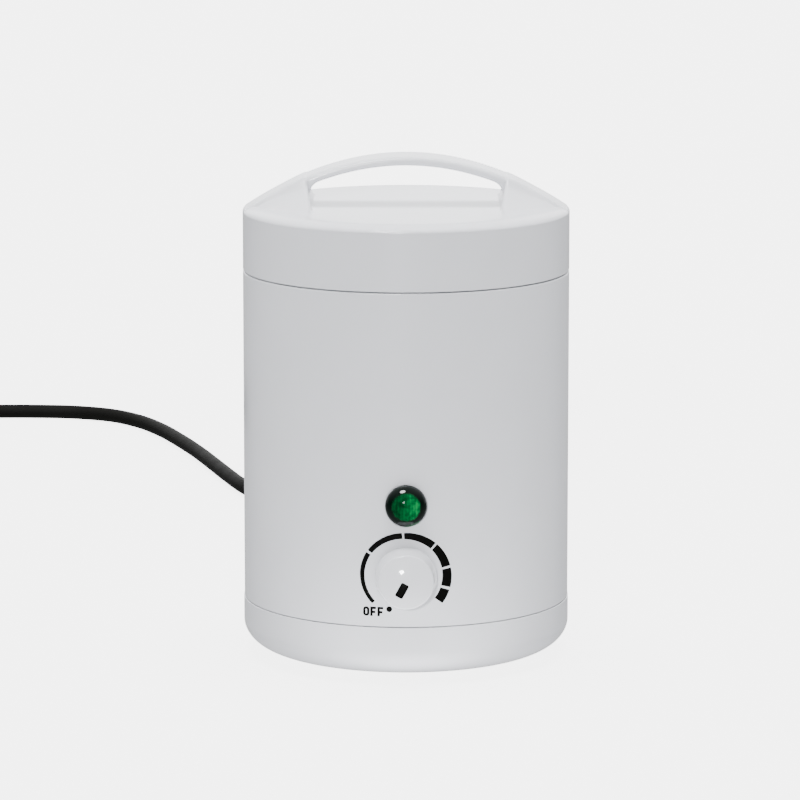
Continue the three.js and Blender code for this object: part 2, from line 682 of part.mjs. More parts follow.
function addFeet() {
  const top = BASE_BOTTOM - GAP;
  const barb = BASE_FLOOR + GAP;
  const shape = turned([
    [0, 0], [FOOT_RADIUS - top / 2, 0], [FOOT_RADIUS, top / 2], [FOOT_RADIUS, top],
    [FOOT_NECK_RADIUS, top], [FOOT_NECK_RADIUS, barb], [FOOT_BARB_RADIUS, barb],
    [FOOT_NECK_RADIUS / 2, barb + FOOT_BARB_HEIGHT], [0, barb + FOOT_BARB_HEIGHT],
  ], BOSS_SIDES);
  feet.forEach(({ x, y }, i) => {
    add(`foot_${i + 1}`, shape.clone(), RUBBER).position.set(x, y, 0);
  });
}

// Heating well: a drawn aluminium pot whose flange lies in the casing's rebate, held by screws

function addWell() {
  const corner = WELL_CORNER;
  const outerCorner = WELL_CORNER + WELL_WALL;
  const pot = turned([
    [0, WELL_UNDER],
    ...arc(WELL_OUTSIDE - outerCorner, WELL_UNDER + outerCorner, outerCorner, outerCorner,
      -90, 0, 2),
    [WELL_OUTSIDE, FLANGE_UNDER], [FLANGE_RADIUS, FLANGE_UNDER], [FLANGE_RADIUS, FLANGE_TOP],
    [WELL_RADIUS + WELL_LIP, FLANGE_TOP], [WELL_RADIUS, FLANGE_TOP - WELL_LIP],
    ...arc(WELL_RADIUS - corner, WELL_FLOOR + corner, corner, corner, 0, -90, 2),
    [0, WELL_FLOOR],
  ], BODY_SIDES);
  const holes = wellScrews.map(({ x, y }) => toSolid(post(
    SMALL_PILOT, FLANGE_UNDER - OVERRUN, FLANGE_TOP + OVERRUN, SCREW_SIDES,
  ).translate(x, y, 0)));
  add('heating_well', cut(toSolid(pot), ...holes), ALUMINIUM);
  wellScrews.forEach(({ x, y }, i) => {
    const shape = screw(
      SMALL_SCREW_RADIUS, WELL_SCREW_LENGTH, SMALL_SCREW_HEAD_RADIUS, SMALL_SCREW_HEAD_HEIGHT,
    );
    add(`well_screw_${i + 1}`, shape, STEEL).position.set(x, y, FLANGE_TOP + GAP);
  });
}

// Band heater: a C of mica and glass cloth whose opening faces the back

function openRing(inside, outside, halfOpening) {
  const lean = (radius) => Math.asin(halfOpening / radius);
  const steps = BODY_SIDES / 2 + BODY_SIDES / 4;
  const sweep = (radius, from, to) => Array.from({ length: steps + 1 }, (_, i) => {
    const angle = from + ((to - from) * i) / steps;
    return [radius * Math.cos(angle), radius * Math.sin(angle)];
  });
  const start = (radius) => QUARTER_TURN + lean(radius);
  const end = (radius) => QUARTER_TURN - lean(radius) + FULL_TURN;
  const outer = sweep(outside, start(outside), end(outside));
  const inner = sweep(inside, end(inside), start(inside));
  return [...outer, ...inner];
}

function addHeaterBand() {
  const outline = openRing(HEATER_INSIDE, HEATER_OUTSIDE, HEATER_OPENING);
  add('heater_band', plate(outline, HEATER_BOTTOM, HEATER_HEIGHT), GLASS_CLOTH);
}

function addBandClamp() {
  const inside = HEATER_OUTSIDE + GAP;
  const outside = inside + CLAMP_THICKNESS;
  const halfEars = CLAMP_EAR_SPACING / 2;
  const earTop = outside + CLAMP_EAR;
  const screwY = outside + CLAMP_EAR / 2;
  const bottom = CLAMP_Z - CLAMP_HEIGHT / 2;
  const ring = toSolid(plate(openRing(inside, outside, halfEars), bottom, CLAMP_HEIGHT));
  const ears = [-1, 1].map((side) => {
    const near = side * halfEars;
    const far = side * (halfEars + CLAMP_THICKNESS);
    return toSolid(block(
      [Math.min(near, far), inside, bottom], [Math.max(near, far), earTop, bottom + CLAMP_HEIGHT],
    ));
  });
  const crosswise = (geometry) => geometry.rotateY(QUARTER_TURN).translate(0, screwY, CLAMP_Z);
  const beyond = halfEars + CLAMP_THICKNESS + OVERRUN;
  const hole = crosswise(post(CLAMP_SCREW_RADIUS + GAP, -beyond, beyond, SCREW_SIDES));
  add('band_clamp', cut(join(ring, ...ears), toSolid(hole)), STEEL);
  const seat = halfEars + CLAMP_THICKNESS + GAP;
  const length = 2 * seat + CLAMP_NUT_HEIGHT + CLAMP_SCREW_TAIL;
  add('clamp_screw', crosswise(screw(
    CLAMP_SCREW_RADIUS, length, CLAMP_SCREW_HEAD_RADIUS, CLAMP_SCREW_HEAD_HEIGHT,
  ).translate(0, 0, seat)), STEEL);
  const nut = cut(
    toSolid(post(CLAMP_NUT_RADIUS, -seat - CLAMP_NUT_HEIGHT, -seat, 6)),
    toSolid(post(CLAMP_SCREW_RADIUS + GAP, -length, length, SCREW_SIDES)),
  );
  add('clamp_nut', crosswise(toGeometry(nut)), STEEL);
}

// Thermostat behind the dial: a case with two rear tabs and a threaded bushing through the wall

function addThermostat() {
  const tip = SPOT_FACE_Y + GAP + PANEL_NUT_HEIGHT + BUSHING_BEYOND_NUT;
  const outline = roundedRectangle(
    THERMOSTAT_WIDTH, THERMOSTAT_HEIGHT, THERMOSTAT_EDGE, 1,
  );
  const box = toSolid(plate(outline, THERMOSTAT_BACK, THERMOSTAT_DEPTH));
  const bushing = toSolid(post(BUSHING_RADIUS, THERMOSTAT_FRONT - OVERRUN, tip));
  const tabs = [-1, 1].map((side) => {
    const x = (side * TAB_SPACING) / 2;
    return toSolid(block(
      [x - TAB_WIDTH / 2, -TAB_DROP - TAB_THICKNESS / 2, THERMOSTAT_BACK - TAB_LENGTH],
      [x + TAB_WIDTH / 2, -TAB_DROP + TAB_THICKNESS / 2, THERMOSTAT_BACK + OVERRUN],
    ));
  });
  const shaftBottom = THERMOSTAT_FRONT - THERMOSTAT_DEPTH / 3;
  const bore = toSolid(post(SHAFT_RADIUS + GAP, shaftBottom - GAP, tip + OVERRUN));
  add('thermostat_body', cut(join(box, bushing, ...tabs), bore), BAKELITE, dial);

  const nutBottom = SPOT_FACE_Y + GAP;
  const nut = cut(
    toSolid(post(PANEL_NUT_RADIUS, nutBottom, nutBottom + PANEL_NUT_HEIGHT, 6)),
    toSolid(post(BUSHING_RADIUS + GAP, nutBottom - OVERRUN, tip)),
  );
  add('thermostat_nut', nut, STEEL, dial);

  const shaftTop = tip + SHAFT_IN_KNOB;
  const round = toSolid(post(SHAFT_RADIUS, shaftBottom, shaftTop));
  const flat = toSolid(block(
    [-SHAFT_RADIUS * 2, SHAFT_RADIUS - SHAFT_FLAT, tip],
    [SHAFT_RADIUS * 2, SHAFT_RADIUS * 2, shaftTop + OVERRUN],
  ));
  add('thermostat_shaft', cut(round, flat), STEEL, dial);
  return { tip, shaftTop };
}

// Knob: a tapered cap with a slightly domed face, a hub with a flat-sided bore, and an inlaid
// pointer that stands at OFF

function addKnob({ tip, shaftTop }) {
  const foot = BODY_RADIUS + KNOB_STAND_OFF;
  const apex = foot + KNOB_HEIGHT;
  const domeAt = (r) => apex - KNOB_DOME_RADIUS + Math.sqrt(KNOB_DOME_RADIUS ** 2 - r ** 2);
  const face = KNOB_FACE_RADIUS - KNOB_EDGE;
  const roof = domeAt(face) - KNOB_WALL;
  const hubFoot = tip + KNOB_HUB_CLEAR;
  const domePoints = [3, 2, 1].map((i) => [(face * i) / 4, domeAt((face * i) / 4)]);
  const cap = toSolid(turned([
    [0, shaftTop + GAP], [SHAFT_RADIUS + GAP, shaftTop + GAP],
    [SHAFT_RADIUS + GAP, hubFoot], [KNOB_HUB_RADIUS, hubFoot], [KNOB_HUB_RADIUS, roof],
    [KNOB_FACE_RADIUS - KNOB_WALL, roof], [KNOB_RADIUS - KNOB_WALL, foot],
    [KNOB_RADIUS, foot],
    ...arc(face, domeAt(face) - KNOB_EDGE, KNOB_EDGE, KNOB_EDGE, 0, 90),
    ...domePoints, [0, apex],
  ], FRONT_SIDES));
  const flat = toSolid(block(
    [-SHAFT_RADIUS, SHAFT_RADIUS + GAP - SHAFT_FLAT, hubFoot],
    [SHAFT_RADIUS, KNOB_HUB_RADIUS - KNOB_WALL / 4, shaftTop + 2 * GAP],
  ));
  const turn = radians(180 - POINTER_OFF_DEGREES);
  const pocketFloor = domeAt(POINTER_CENTRE + POINTER_LENGTH / 2) - POINTER_DEPTH;
  const marker = (spare, bottom, top) => plate(
    roundedRectangle(
      POINTER_WIDTH + 2 * spare, POINTER_LENGTH + 2 * spare, POINTER_CORNER + spare, 2,
    ), bottom, top - bottom,
  ).translate(0, -POINTER_CENTRE, 0).rotateZ(turn);
  const pocket = toSolid(marker(INLAY_GAP, pocketFloor, apex + OVERRUN));
  add('control_knob', cut(join(cap, flat), pocket), WHITE, dial);
  const ball = toSolid(new THREE.SphereGeometry(KNOB_DOME_RADIUS, FRONT_SIDES * 2, FRONT_SIDES)
    .rotateX(QUARTER_TURN).translate(0, 0, apex - KNOB_DOME_RADIUS));
  const inlay = toSolid(marker(0, pocketFloor + GAP, apex + OVERRUN)).intersect(ball);
  add('knob_pointer', inlay, BLACK_INLAY, dial);
}

// Pilot lamp: a green lens with a barrel, a push-on retainer, a neon bulb and its socket

function addLamp() {
  const seat = SPOT_FACE_Y + GAP;
  const inner = BARREL_RADIUS - BARREL_WALL;
  const end = seat - BARREL_LENGTH;
  const domeFoot = seat + LENS_RIM;
  const lens = turned([
    [0, seat], [inner, seat], [inner, end], [BARREL_RADIUS, end], [BARREL_RADIUS, seat],
    [LENS_RADIUS, seat],
    ...arc(0, domeFoot, LENS_RADIUS, LENS_HEIGHT - LENS_RIM, 0, 90, LENS_STEPS).slice(0, -1),
    [0, seat + LENS_HEIGHT],
  ], FRONT_SIDES);
  add('lamp_lens', lens, GREEN_LENS, lamp);

  const retainerTop = Math.sqrt(CASING_INSIDE ** 2 - RETAINER_RADIUS ** 2) - GAP;
  const washer = cut(
    toSolid(post(RETAINER_RADIUS, retainerTop - RETAINER_THICKNESS, retainerTop, FRONT_SIDES)),
    toSolid(post(BARREL_RADIUS + GAP, end, seat, FRONT_SIDES)),
  );
  const slots = ringOf(RETAINER_SLOTS, 0).map(({ angle }) => toSolid(block(
    [0, -RETAINER_THICKNESS / 2, end],
    [(BARREL_RADIUS + RETAINER_RADIUS) / 2, RETAINER_THICKNESS / 2, seat],
  ).rotateZ(angle)));
  add('lamp_retainer', cut(washer, ...slots), STEEL, lamp);

  const plugTop = end + SOCKET_PLUG_LENGTH;
  const socket = turned([
    [0, end - GAP - SOCKET_HEAD_HEIGHT], [BARREL_RADIUS, end - GAP - SOCKET_HEAD_HEIGHT],
    [BARREL_RADIUS, end - GAP], [inner - GAP, end - GAP], [inner - GAP, plugTop],
    [0, plugTop],
  ], BOSS_SIDES);
  add('lamp_socket', socket, NYLON, lamp);

  const neonFoot = plugTop + GAP;
  const neonTop = Math.min(neonFoot + NEON_LENGTH, seat - GAP);
  add('neon_bulb', turned([
    [0, neonFoot], [NEON_RADIUS, neonFoot], [NEON_RADIUS, neonTop - NEON_RADIUS],
    ...arc(0, neonTop - NEON_RADIUS, NEON_RADIUS, NEON_RADIUS, 30, 90, 2),
  ], SCREW_SIDES), NEON_GLASS, lamp);
  return end - GAP - SOCKET_HEAD_HEIGHT;
}

// What is clipped under the well: the sensing bulb with its capillary, and the thermal fuse

function underWell(name, radius, y, centreX, body, material) {
  const z = WELL_UNDER - GAP - radius;
  const along = (geometry) => geometry.rotateY(QUARTER_TURN).translate(centreX, y, z);
  add(name, along(body), material);
  const inside = radius + GAP;
  const outside = inside + CLIP_THICKNESS;
  const top = WELL_UNDER - GAP - z;
  const footTop = top - CLIP_THICKNESS;
  const bend = (size) => arc(0, 0, size, size, 0, -180, CORNER_STEPS + 2);
  const outline = [
    [outside + CLIP_FOOT, footTop], [outside, footTop], ...bend(outside),
    [-outside, footTop], [-outside - CLIP_FOOT, footTop], [-outside - CLIP_FOOT, top],
    [-inside, top], ...bend(inside).reverse(), [inside, top], [outside + CLIP_FOOT, top],
  ];
  const strip = plate(outline, -CLIP_WIDTH / 2, CLIP_WIDTH)
    .rotateX(QUARTER_TURN).rotateZ(QUARTER_TURN).translate(centreX, y, z);
  return { strip, z };
}

function addUnderWell() {
  const bulbShape = turned([
    [0, -BULB_LENGTH / 2], [BULB_RADIUS / 2, -BULB_LENGTH / 2],
    [BULB_RADIUS, BULB_RADIUS / 2 - BULB_LENGTH / 2],
    [BULB_RADIUS, BULB_LENGTH / 2 - BULB_RADIUS / 2], [BULB_RADIUS / 2, BULB_LENGTH / 2],
    [0, BULB_LENGTH / 2],
  ], SCREW_SIDES);
  const bulb = underWell('sensing_bulb', BULB_RADIUS, BULB_Y, BULB_SHIFT_X, bulbShape, COPPER);
  add('bulb_clip', bulb.strip, STEEL);
  const half = FUSE_LENGTH / 2;
  const fuseShape = turned([
    [0, -half - FUSE_LEAD], [FUSE_LEAD_RADIUS, -half - FUSE_LEAD], [FUSE_LEAD_RADIUS, -half],
    [FUSE_RADIUS, -half], [FUSE_RADIUS, half], [FUSE_LEAD_RADIUS, half],
    [FUSE_LEAD_RADIUS, half + FUSE_LEAD], [0, half + FUSE_LEAD],
  ], SCREW_SIDES);
  const fuse = underWell('thermal_fuse', FUSE_RADIUS, FUSE_Y, 0, fuseShape, ALUMINIUM);
  add('fuse_clip', fuse.strip, STEEL);
  return { bulbZ: bulb.z, fuseZ: fuse.z };
}

// Terminal block: two poles with wire tunnels front and back, screwed to the base's boss

const BLOCK_BOTTOM = BASE_FLOOR + BLOCK_BOSS_HEIGHT + GAP;
const BLOCK_TOP = BLOCK_BOTTOM + BLOCK_HEIGHT;
const TUNNEL_Z = BLOCK_TOP - TUNNEL_DROP;
const BLOCK_BACK = BLOCK_CENTRE_Y + BLOCK_DEPTH / 2;
const BLOCK_FRONT = BLOCK_CENTRE_Y - BLOCK_DEPTH / 2;
const poles = [-1, 1].map((side) => (side * POLE_SPACING) / 2);

function addTerminalBlock() {
  const body = toSolid(block(
    [-BLOCK_WIDTH / 2, BLOCK_FRONT, BLOCK_BOTTOM], [BLOCK_WIDTH / 2, BLOCK_BACK, BLOCK_TOP],
  ));
  const notch = toSolid(block(
    [-BLOCK_NOTCH / 2, BLOCK_FRONT - OVERRUN, BLOCK_TOP - BLOCK_NOTCH],
    [BLOCK_NOTCH / 2, BLOCK_BACK + OVERRUN, BLOCK_TOP + OVERRUN],
  ));
  const lyingPost = (x, from, to) => post(TUNNEL_RADIUS, from, to)
    .rotateX(-QUARTER_TURN).translate(x, 0, TUNNEL_Z);
  const tunnels = poles.flatMap((x) => [
    lyingPost(x, BLOCK_BACK - TUNNEL_DEPTH, BLOCK_BACK + OVERRUN),
    lyingPost(x, BLOCK_FRONT - OVERRUN, BLOCK_FRONT + TUNNEL_DEPTH),
  ]);
  const screwWells = poles.flatMap((x) => [-1, 1].map((side) => post(
    POLE_SCREW_RADIUS, BLOCK_TOP - POLE_SCREW_DEPTH, BLOCK_TOP + OVERRUN, SCREW_SIDES,
  ).translate(x, BLOCK_CENTRE_Y + (side * BLOCK_DEPTH) / 4, 0)));
  const mounting = [
    post(SMALL_PILOT, BLOCK_BOTTOM - OVERRUN, BLOCK_TOP, SCREW_SIDES),
    post(SMALL_SCREW_HEAD_RADIUS + GAP, BLOCK_BOTTOM + BLOCK_HEIGHT / 3, BLOCK_TOP + OVERRUN,
      SCREW_SIDES),
  ].map((hole) => hole.translate(0, BLOCK_CENTRE_Y, 0));
  const cutters = [...tunnels, ...screwWells, ...mounting].map(toSolid);
  add('terminal_block', cut(body, notch, ...cutters), NYLON);
  const seat = BLOCK_BOTTOM + BLOCK_HEIGHT / 3 + GAP;
  const length = seat - BASE_FLOOR - GAP;
  add('block_screw', screw(
    SMALL_SCREW_RADIUS, length, SMALL_SCREW_HEAD_RADIUS, SMALL_SCREW_HEAD_HEIGHT,
  ), STEEL).position.set(0, BLOCK_CENTRE_Y, seat);
}

// Mains lead inside: strain relief, cable tail, clamp bar with two screws, and the two cores

function addStrainRelief() {
  const bore = CORD_RADIUS + GAP;
  const flangeBack = RELIEF_FLANGE_FACE - RELIEF_FLANGE_THICKNESS;
  const shoulder = RELIEF_OUTER_FACE + RELIEF_FLANGE_THICKNESS;
  const rib = RELIEF_TAIL / RELIEF_RIBS;
  const radiusAt = (z) => RELIEF_TAIL_RADIUS
    + ((RELIEF_TIP_RADIUS - RELIEF_TAIL_RADIUS) * (z - shoulder)) / RELIEF_TAIL;
  const ribs = Array.from({ length: RELIEF_RIBS }, (_, i) => {
    const from = shoulder + rib * i;
    const groove = from + rib * RELIEF_RIB_share;
    const sunk = radiusAt(groove) - RELIEF_GROOVE;
    const next = from + rib;
    const last = i + 1 === RELIEF_RIBS;
    const grooved = [[sunk, groove], [sunk, next]];
    return [[radiusAt(from), from], [radiusAt(groove), last ? next : groove],
      ...(last ? [] : grooved)];
  }).flat();
  add('strain_relief', turned([
    [bore, RELIEF_START], [RELIEF_NECK_RADIUS, RELIEF_START],
    [RELIEF_NECK_RADIUS, flangeBack], [RELIEF_FLANGE_RADIUS, flangeBack],
    [RELIEF_FLANGE_RADIUS, RELIEF_FLANGE_FACE], [RELIEF_NECK_RADIUS, RELIEF_FLANGE_FACE],
    [RELIEF_NECK_RADIUS, RELIEF_OUTER_FACE], [RELIEF_FLANGE_RADIUS, RELIEF_OUTER_FACE],
    [RELIEF_FLANGE_RADIUS, shoulder - RELIEF_GROOVE],
    [RELIEF_FLANGE_RADIUS - RELIEF_GROOVE, shoulder],
    ...ribs, [bore, RELIEF_TIP],
  ], BOSS_SIDES), RUBBER, outlet);
}

function addCordInside() {
  add('cord_tail', post(CORD_RADIUS, TAIL_END_Y, RELIEF_TIP - GAP, CORD_SIDES + 4),
    CORD_BLACK, outlet);
  const bar = toSolid(block(
    [-SHELF_WIDTH / 2, CLAMP_POST_Y - CLAMP_BAR_WIDTH / 2, CLAMP_BAR_TOP - CLAMP_BAR_THICKNESS],
    [SHELF_WIDTH / 2, CLAMP_POST_Y + CLAMP_BAR_WIDTH / 2, CLAMP_BAR_TOP],
  ));
  const seat = CLAMP_BAR_TOP - CLAMP_BAR_THICKNESS - GAP;
  const holes = clampSides.map((x) => toSolid(post(
    SMALL_PILOT, seat - OVERRUN, CLAMP_BAR_TOP + OVERRUN, SCREW_SIDES,
  ).translate(x, CLAMP_POST_Y, 0)));
  add('cord_clamp', cut(bar, ...holes), NYLON);
  const length = SHELF_UNDER + SHELF_THICKNESS / 2 - GAP - seat;
  clampSides.forEach((x, i) => {
    const mesh = add(`cord_clamp_screw_${i + 1}`, screw(
      SMALL_SCREW_RADIUS, length, SMALL_SCREW_HEAD_RADIUS, SMALL_SCREW_HEAD_HEIGHT,
    ), STEEL);
    mesh.position.set(x, CLAMP_POST_Y, seat);
    mesh.rotation.x = Math.PI;
  });
}

// Wires inside. Each leaves one terminal straight, keeps clear of what lies between, and
// ends straight at the other one.

const between = (a, b, share) => a + (b - a) * share;

const around = (radius, degrees, z) => [
  radius * Math.cos(radians(degrees)), radius * Math.sin(radians(degrees)), z,
];

const TAB_Y = -(THERMOSTAT_BACK - TAB_LENGTH - GAP);
const TAB_Z = DIAL_Z - TAB_DROP;
const TAB_X = TAB_SPACING / 2;
const POLE_X = POLE_SPACING / 2;
const FRONT_IN = BLOCK_FRONT + TUNNEL_DEPTH - 2 * GAP;
const FUSE_END = FUSE_LENGTH / 2 + FUSE_LEAD + GAP;

function wire(name, points, material, radius = CORE_RADIUS) {
  const curve = smooth(points);
  const steps = Math.round(curve.getLength() / WIRE_STEP);
  add(name, tube(curve, radius, steps, WIRE_SIDES), material);
}

// The last points of a wire that climbs beside the well to the heater's lower edge
function heaterEnd(degrees) {
  const beside = (WELL_OUTSIDE + CASING_INSIDE) / 2;
  const atHeater = WELL_OUTSIDE + CORE_RADIUS + 2 * GAP;
  return [
    around(beside, degrees, WELL_UNDER + 3 * WIRE_BEND),
    around(atHeater, degrees, HEATER_BOTTOM - 1.3 * WIRE_BEND),
    around(atHeater, degrees, HEATER_BOTTOM - GAP),
  ];
}

function addCores() {
  [['core_live', -1, BROWN_WIRE], ['core_neutral', 1, BLUE_WIRE]].forEach(
    ([name, side, material]) => {
      const tailX = (side * CORE_SPACING) / 2;
      const poleX = side * POLE_X;
      wire(name, [
        [tailX, TAIL_END_Y - GAP, CORD_EXIT_Z], [tailX, TAIL_END_Y - CORE_RADIUS, CORD_EXIT_Z],
        [between(tailX, poleX, 0.5), between(TAIL_END_Y, BLOCK_BACK, 0.45),
          between(CORD_EXIT_Z, TUNNEL_Z, 0.45)],
        [poleX, BLOCK_BACK + WIRE_BEND, TUNNEL_Z + CORE_RADIUS],
        [poleX, BLOCK_BACK, TUNNEL_Z], [poleX, BLOCK_BACK - TUNNEL_DEPTH + 2 * GAP, TUNNEL_Z],
      ], material);
    },
  );
}

function addMainWires(fuseZ) {
  wire('wire_live', [
    [-POLE_X, FRONT_IN, TUNNEL_Z], [-POLE_X, BLOCK_FRONT - WIRE_BEND, TUNNEL_Z],
    [between(-POLE_X, -TAB_X, 0.5), between(BLOCK_FRONT, TAB_Y, 0.5),
      between(TUNNEL_Z, TAB_Z, 0.5)],
    [-TAB_X, TAB_Y + 2 * WIRE_BEND, TAB_Z], [-TAB_X, TAB_Y, TAB_Z],
  ], BROWN_WIRE);

  const aside = FUSE_END + WIRE_ASIDE;
  wire('wire_switched', [
    [TAB_X, TAB_Y, TAB_Z], [TAB_X, TAB_Y + WIRE_BEND, TAB_Z],
    [between(TAB_X, aside, 0.7), between(TAB_Y, FUSE_Y, 0.35), between(TAB_Z, fuseZ, 0.35)],
    [aside, between(TAB_Y, FUSE_Y, 0.8), between(TAB_Z, fuseZ, 0.87)],
    [FUSE_END + 1.5 * WIRE_BEND, FUSE_Y, fuseZ], [FUSE_END, FUSE_Y, fuseZ],
  ], SLEEVE_WHITE);

  wire('wire_fuse', [
    [-FUSE_END, FUSE_Y, fuseZ], [-FUSE_END - WIRE_BEND / 2, FUSE_Y, fuseZ],
    around(WELL_OUTSIDE * 0.6, 130, fuseZ - CORE_RADIUS),
    around(WELL_OUTSIDE * 0.85, 121, fuseZ - 2 * CORE_RADIUS),
    around(WELL_OUTSIDE * 1.08, 116, fuseZ + CORE_RADIUS), ...heaterEnd(114),
  ], SLEEVE_WHITE);

  const poleX = POLE_X + TUNNEL_RADIUS - CORE_RADIUS - 1.5 * GAP;
  const clear = BLOCK_WIDTH / 2 + 2.6 * CORE_RADIUS;
  wire('wire_neutral', [
    [poleX, FRONT_IN, TUNNEL_Z], [poleX, BLOCK_FRONT, TUNNEL_Z],
    [poleX, BLOCK_FRONT - WIRE_BEND, TUNNEL_Z + CORE_RADIUS / 2],
    [clear, BLOCK_FRONT - 1.5 * WIRE_BEND, between(TUNNEL_Z, fuseZ, 0.22)],
    [aside, between(BLOCK_FRONT, BLOCK_BACK, 0.3), between(TUNNEL_Z, fuseZ, 0.53)],
    around(WELL_OUTSIDE * 0.75, 51, between(TUNNEL_Z, fuseZ, 0.78)),
    around(WELL_OUTSIDE, 61, fuseZ - 2 * CORE_RADIUS), ...heaterEnd(66),
  ], SLEEVE_WHITE);
}

// The lamp's leads drop in front of the well and pass between it and the thermostat
function addLampLeads(lampBack) {
  const leadY = -(lampBack - GAP);
  const slotZ = WELL_UNDER - SPACE_UNDER_WELL / 2;
  const tabMiddle = -(THERMOSTAT_BACK - TAB_LENGTH / 2);
  const drop = (x) => [
    [x, leadY, LAMP_Z], [x, leadY + 2 * LAMP_LEAD_RADIUS, LAMP_Z - LAMP_LEAD_RADIUS],
    [x, leadY + 3 * LAMP_LEAD_RADIUS, LAMP_Z - 1.3 * WIRE_BEND],
    [x, -WELL_OUTSIDE - LAMP_LEAD_RADIUS, slotZ + 2 * LAMP_LEAD_RADIUS],
  ];
  const lampX = LAMP_LEAD_SPACING / 2;
  const underY = -(WELL_OUTSIDE - WELL_CORNER);
  wire('lamp_lead_1', [
    ...drop(lampX), [between(lampX, TAB_X, 0.5), underY, slotZ],
    [TAB_X, tabMiddle, between(slotZ, TAB_Z, 0.15)],
    [TAB_X, tabMiddle, between(slotZ, TAB_Z, 0.55)],
    [TAB_X, tabMiddle, TAB_Z + TAB_THICKNESS / 2 + GAP],
  ], BROWN_WIRE, LAMP_LEAD_RADIUS);

  const poleX = POLE_X - (TUNNEL_RADIUS - LAMP_LEAD_RADIUS - GAP);
  wire('lamp_lead_2', [
    ...drop(-lampX), [-lampX, underY, slotZ],
    [0, -THERMOSTAT_BACK + 2 * WIRE_BEND, between(slotZ, TUNNEL_Z, 0.12)],
    [poleX / 4, between(TAB_Y, BLOCK_FRONT, 0.3), between(slotZ, TUNNEL_Z, 0.4)],
    [poleX / 2, between(TAB_Y, BLOCK_FRONT, 0.6), between(slotZ, TUNNEL_Z, 0.7)],
    [poleX, BLOCK_FRONT - 2 * WIRE_BEND, TUNNEL_Z + WIRE_BEND / 2],
    [poleX, BLOCK_FRONT, TUNNEL_Z], [poleX, FRONT_IN, TUNNEL_Z],
  ], BLUE_WIRE, LAMP_LEAD_RADIUS);
}

function addCapillary(bulbZ) {
  const x = -CAPILLARY_FROM_AXIS;
  const y = -THERMOSTAT_BACK + GAP;
  const z = DIAL_Z + CAPILLARY_FROM_AXIS;
  const bulbEnd = BULB_SHIFT_X - BULB_LENGTH / 2;
  wire('capillary_tube', [
    [x, y, z], [x, y + WIRE_BEND, z],
    [between(x, bulbEnd, 0.4), between(y, BULB_Y, 0.3), between(z, bulbZ, 0.7)],
    [bulbEnd - BULB_RADIUS / 2, between(y, BULB_Y, 0.55), between(z, bulbZ, 0.95)],
    [bulbEnd - 3 * BULB_RADIUS, between(y, BULB_Y, 0.8), bulbZ],
    [bulbEnd - 2.4 * BULB_RADIUS, BULB_Y - BULB_RADIUS / 2, bulbZ],
    [bulbEnd - BULB_RADIUS, BULB_Y, bulbZ], [bulbEnd - GAP, BULB_Y, bulbZ],
  ], COPPER, CAPILLARY_RADIUS);
}

// Lid: a shallow cap with a locating skirt. Its arch handle is moulded in one with it: the
// strap bridges a slot with a flat floor, and runs out into two hollow wings that sweep down
// to the rim on both sides.

const RIM_RADIUS = BODY_RADIUS - LID_EDGE;
const archTop = (x) => DECK + HANDLE_RISE * (1 - (x / HANDLE_REACH) ** 2);

function lidCap() {
  const inside = BODY_RADIUS - LID_WALL;
  const skirtOutside = CASING_INSIDE - SKIRT_CLEARANCE;
  const skirtInside = skirtOutside - SKIRT_THICKNESS;
  const skirtBottom = LID_BOTTOM - SKIRT_DEPTH;
  const under = DECK - LID_WALL;
  const innerEdge = LID_EDGE / 2;
  return toSolid(turned([
    [0, under], ...arc(inside - innerEdge, under - innerEdge, innerEdge, innerEdge, 90, 0, 2),
    [inside, LID_BOTTOM + 2 * SKIRT_ROOT], [skirtInside, LID_BOTTOM + SKIRT_ROOT],
    [skirtInside, skirtBottom], [skirtOutside, skirtBottom], [skirtOutside, LID_BOTTOM],
    [BODY_RADIUS - CASING_EDGE, LID_BOTTOM], [BODY_RADIUS, LID_BOTTOM + CASING_EDGE],
    ...arc(BODY_RADIUS - LID_SHOULDER, DECK - LID_EDGE, LID_SHOULDER, LID_EDGE, 0, 90),
    [0, DECK],
  ], BODY_SIDES));
}

// How far the round shoulder has dropped below the deck at a radius
function shoulderDrop(radius) {
  const share = (radius - BODY_RADIUS + LID_SHOULDER) / LID_SHOULDER;
  return LID_EDGE * (1 - Math.sqrt(1 - THREE.MathUtils.clamp(share, 0, 1) ** 2));
}

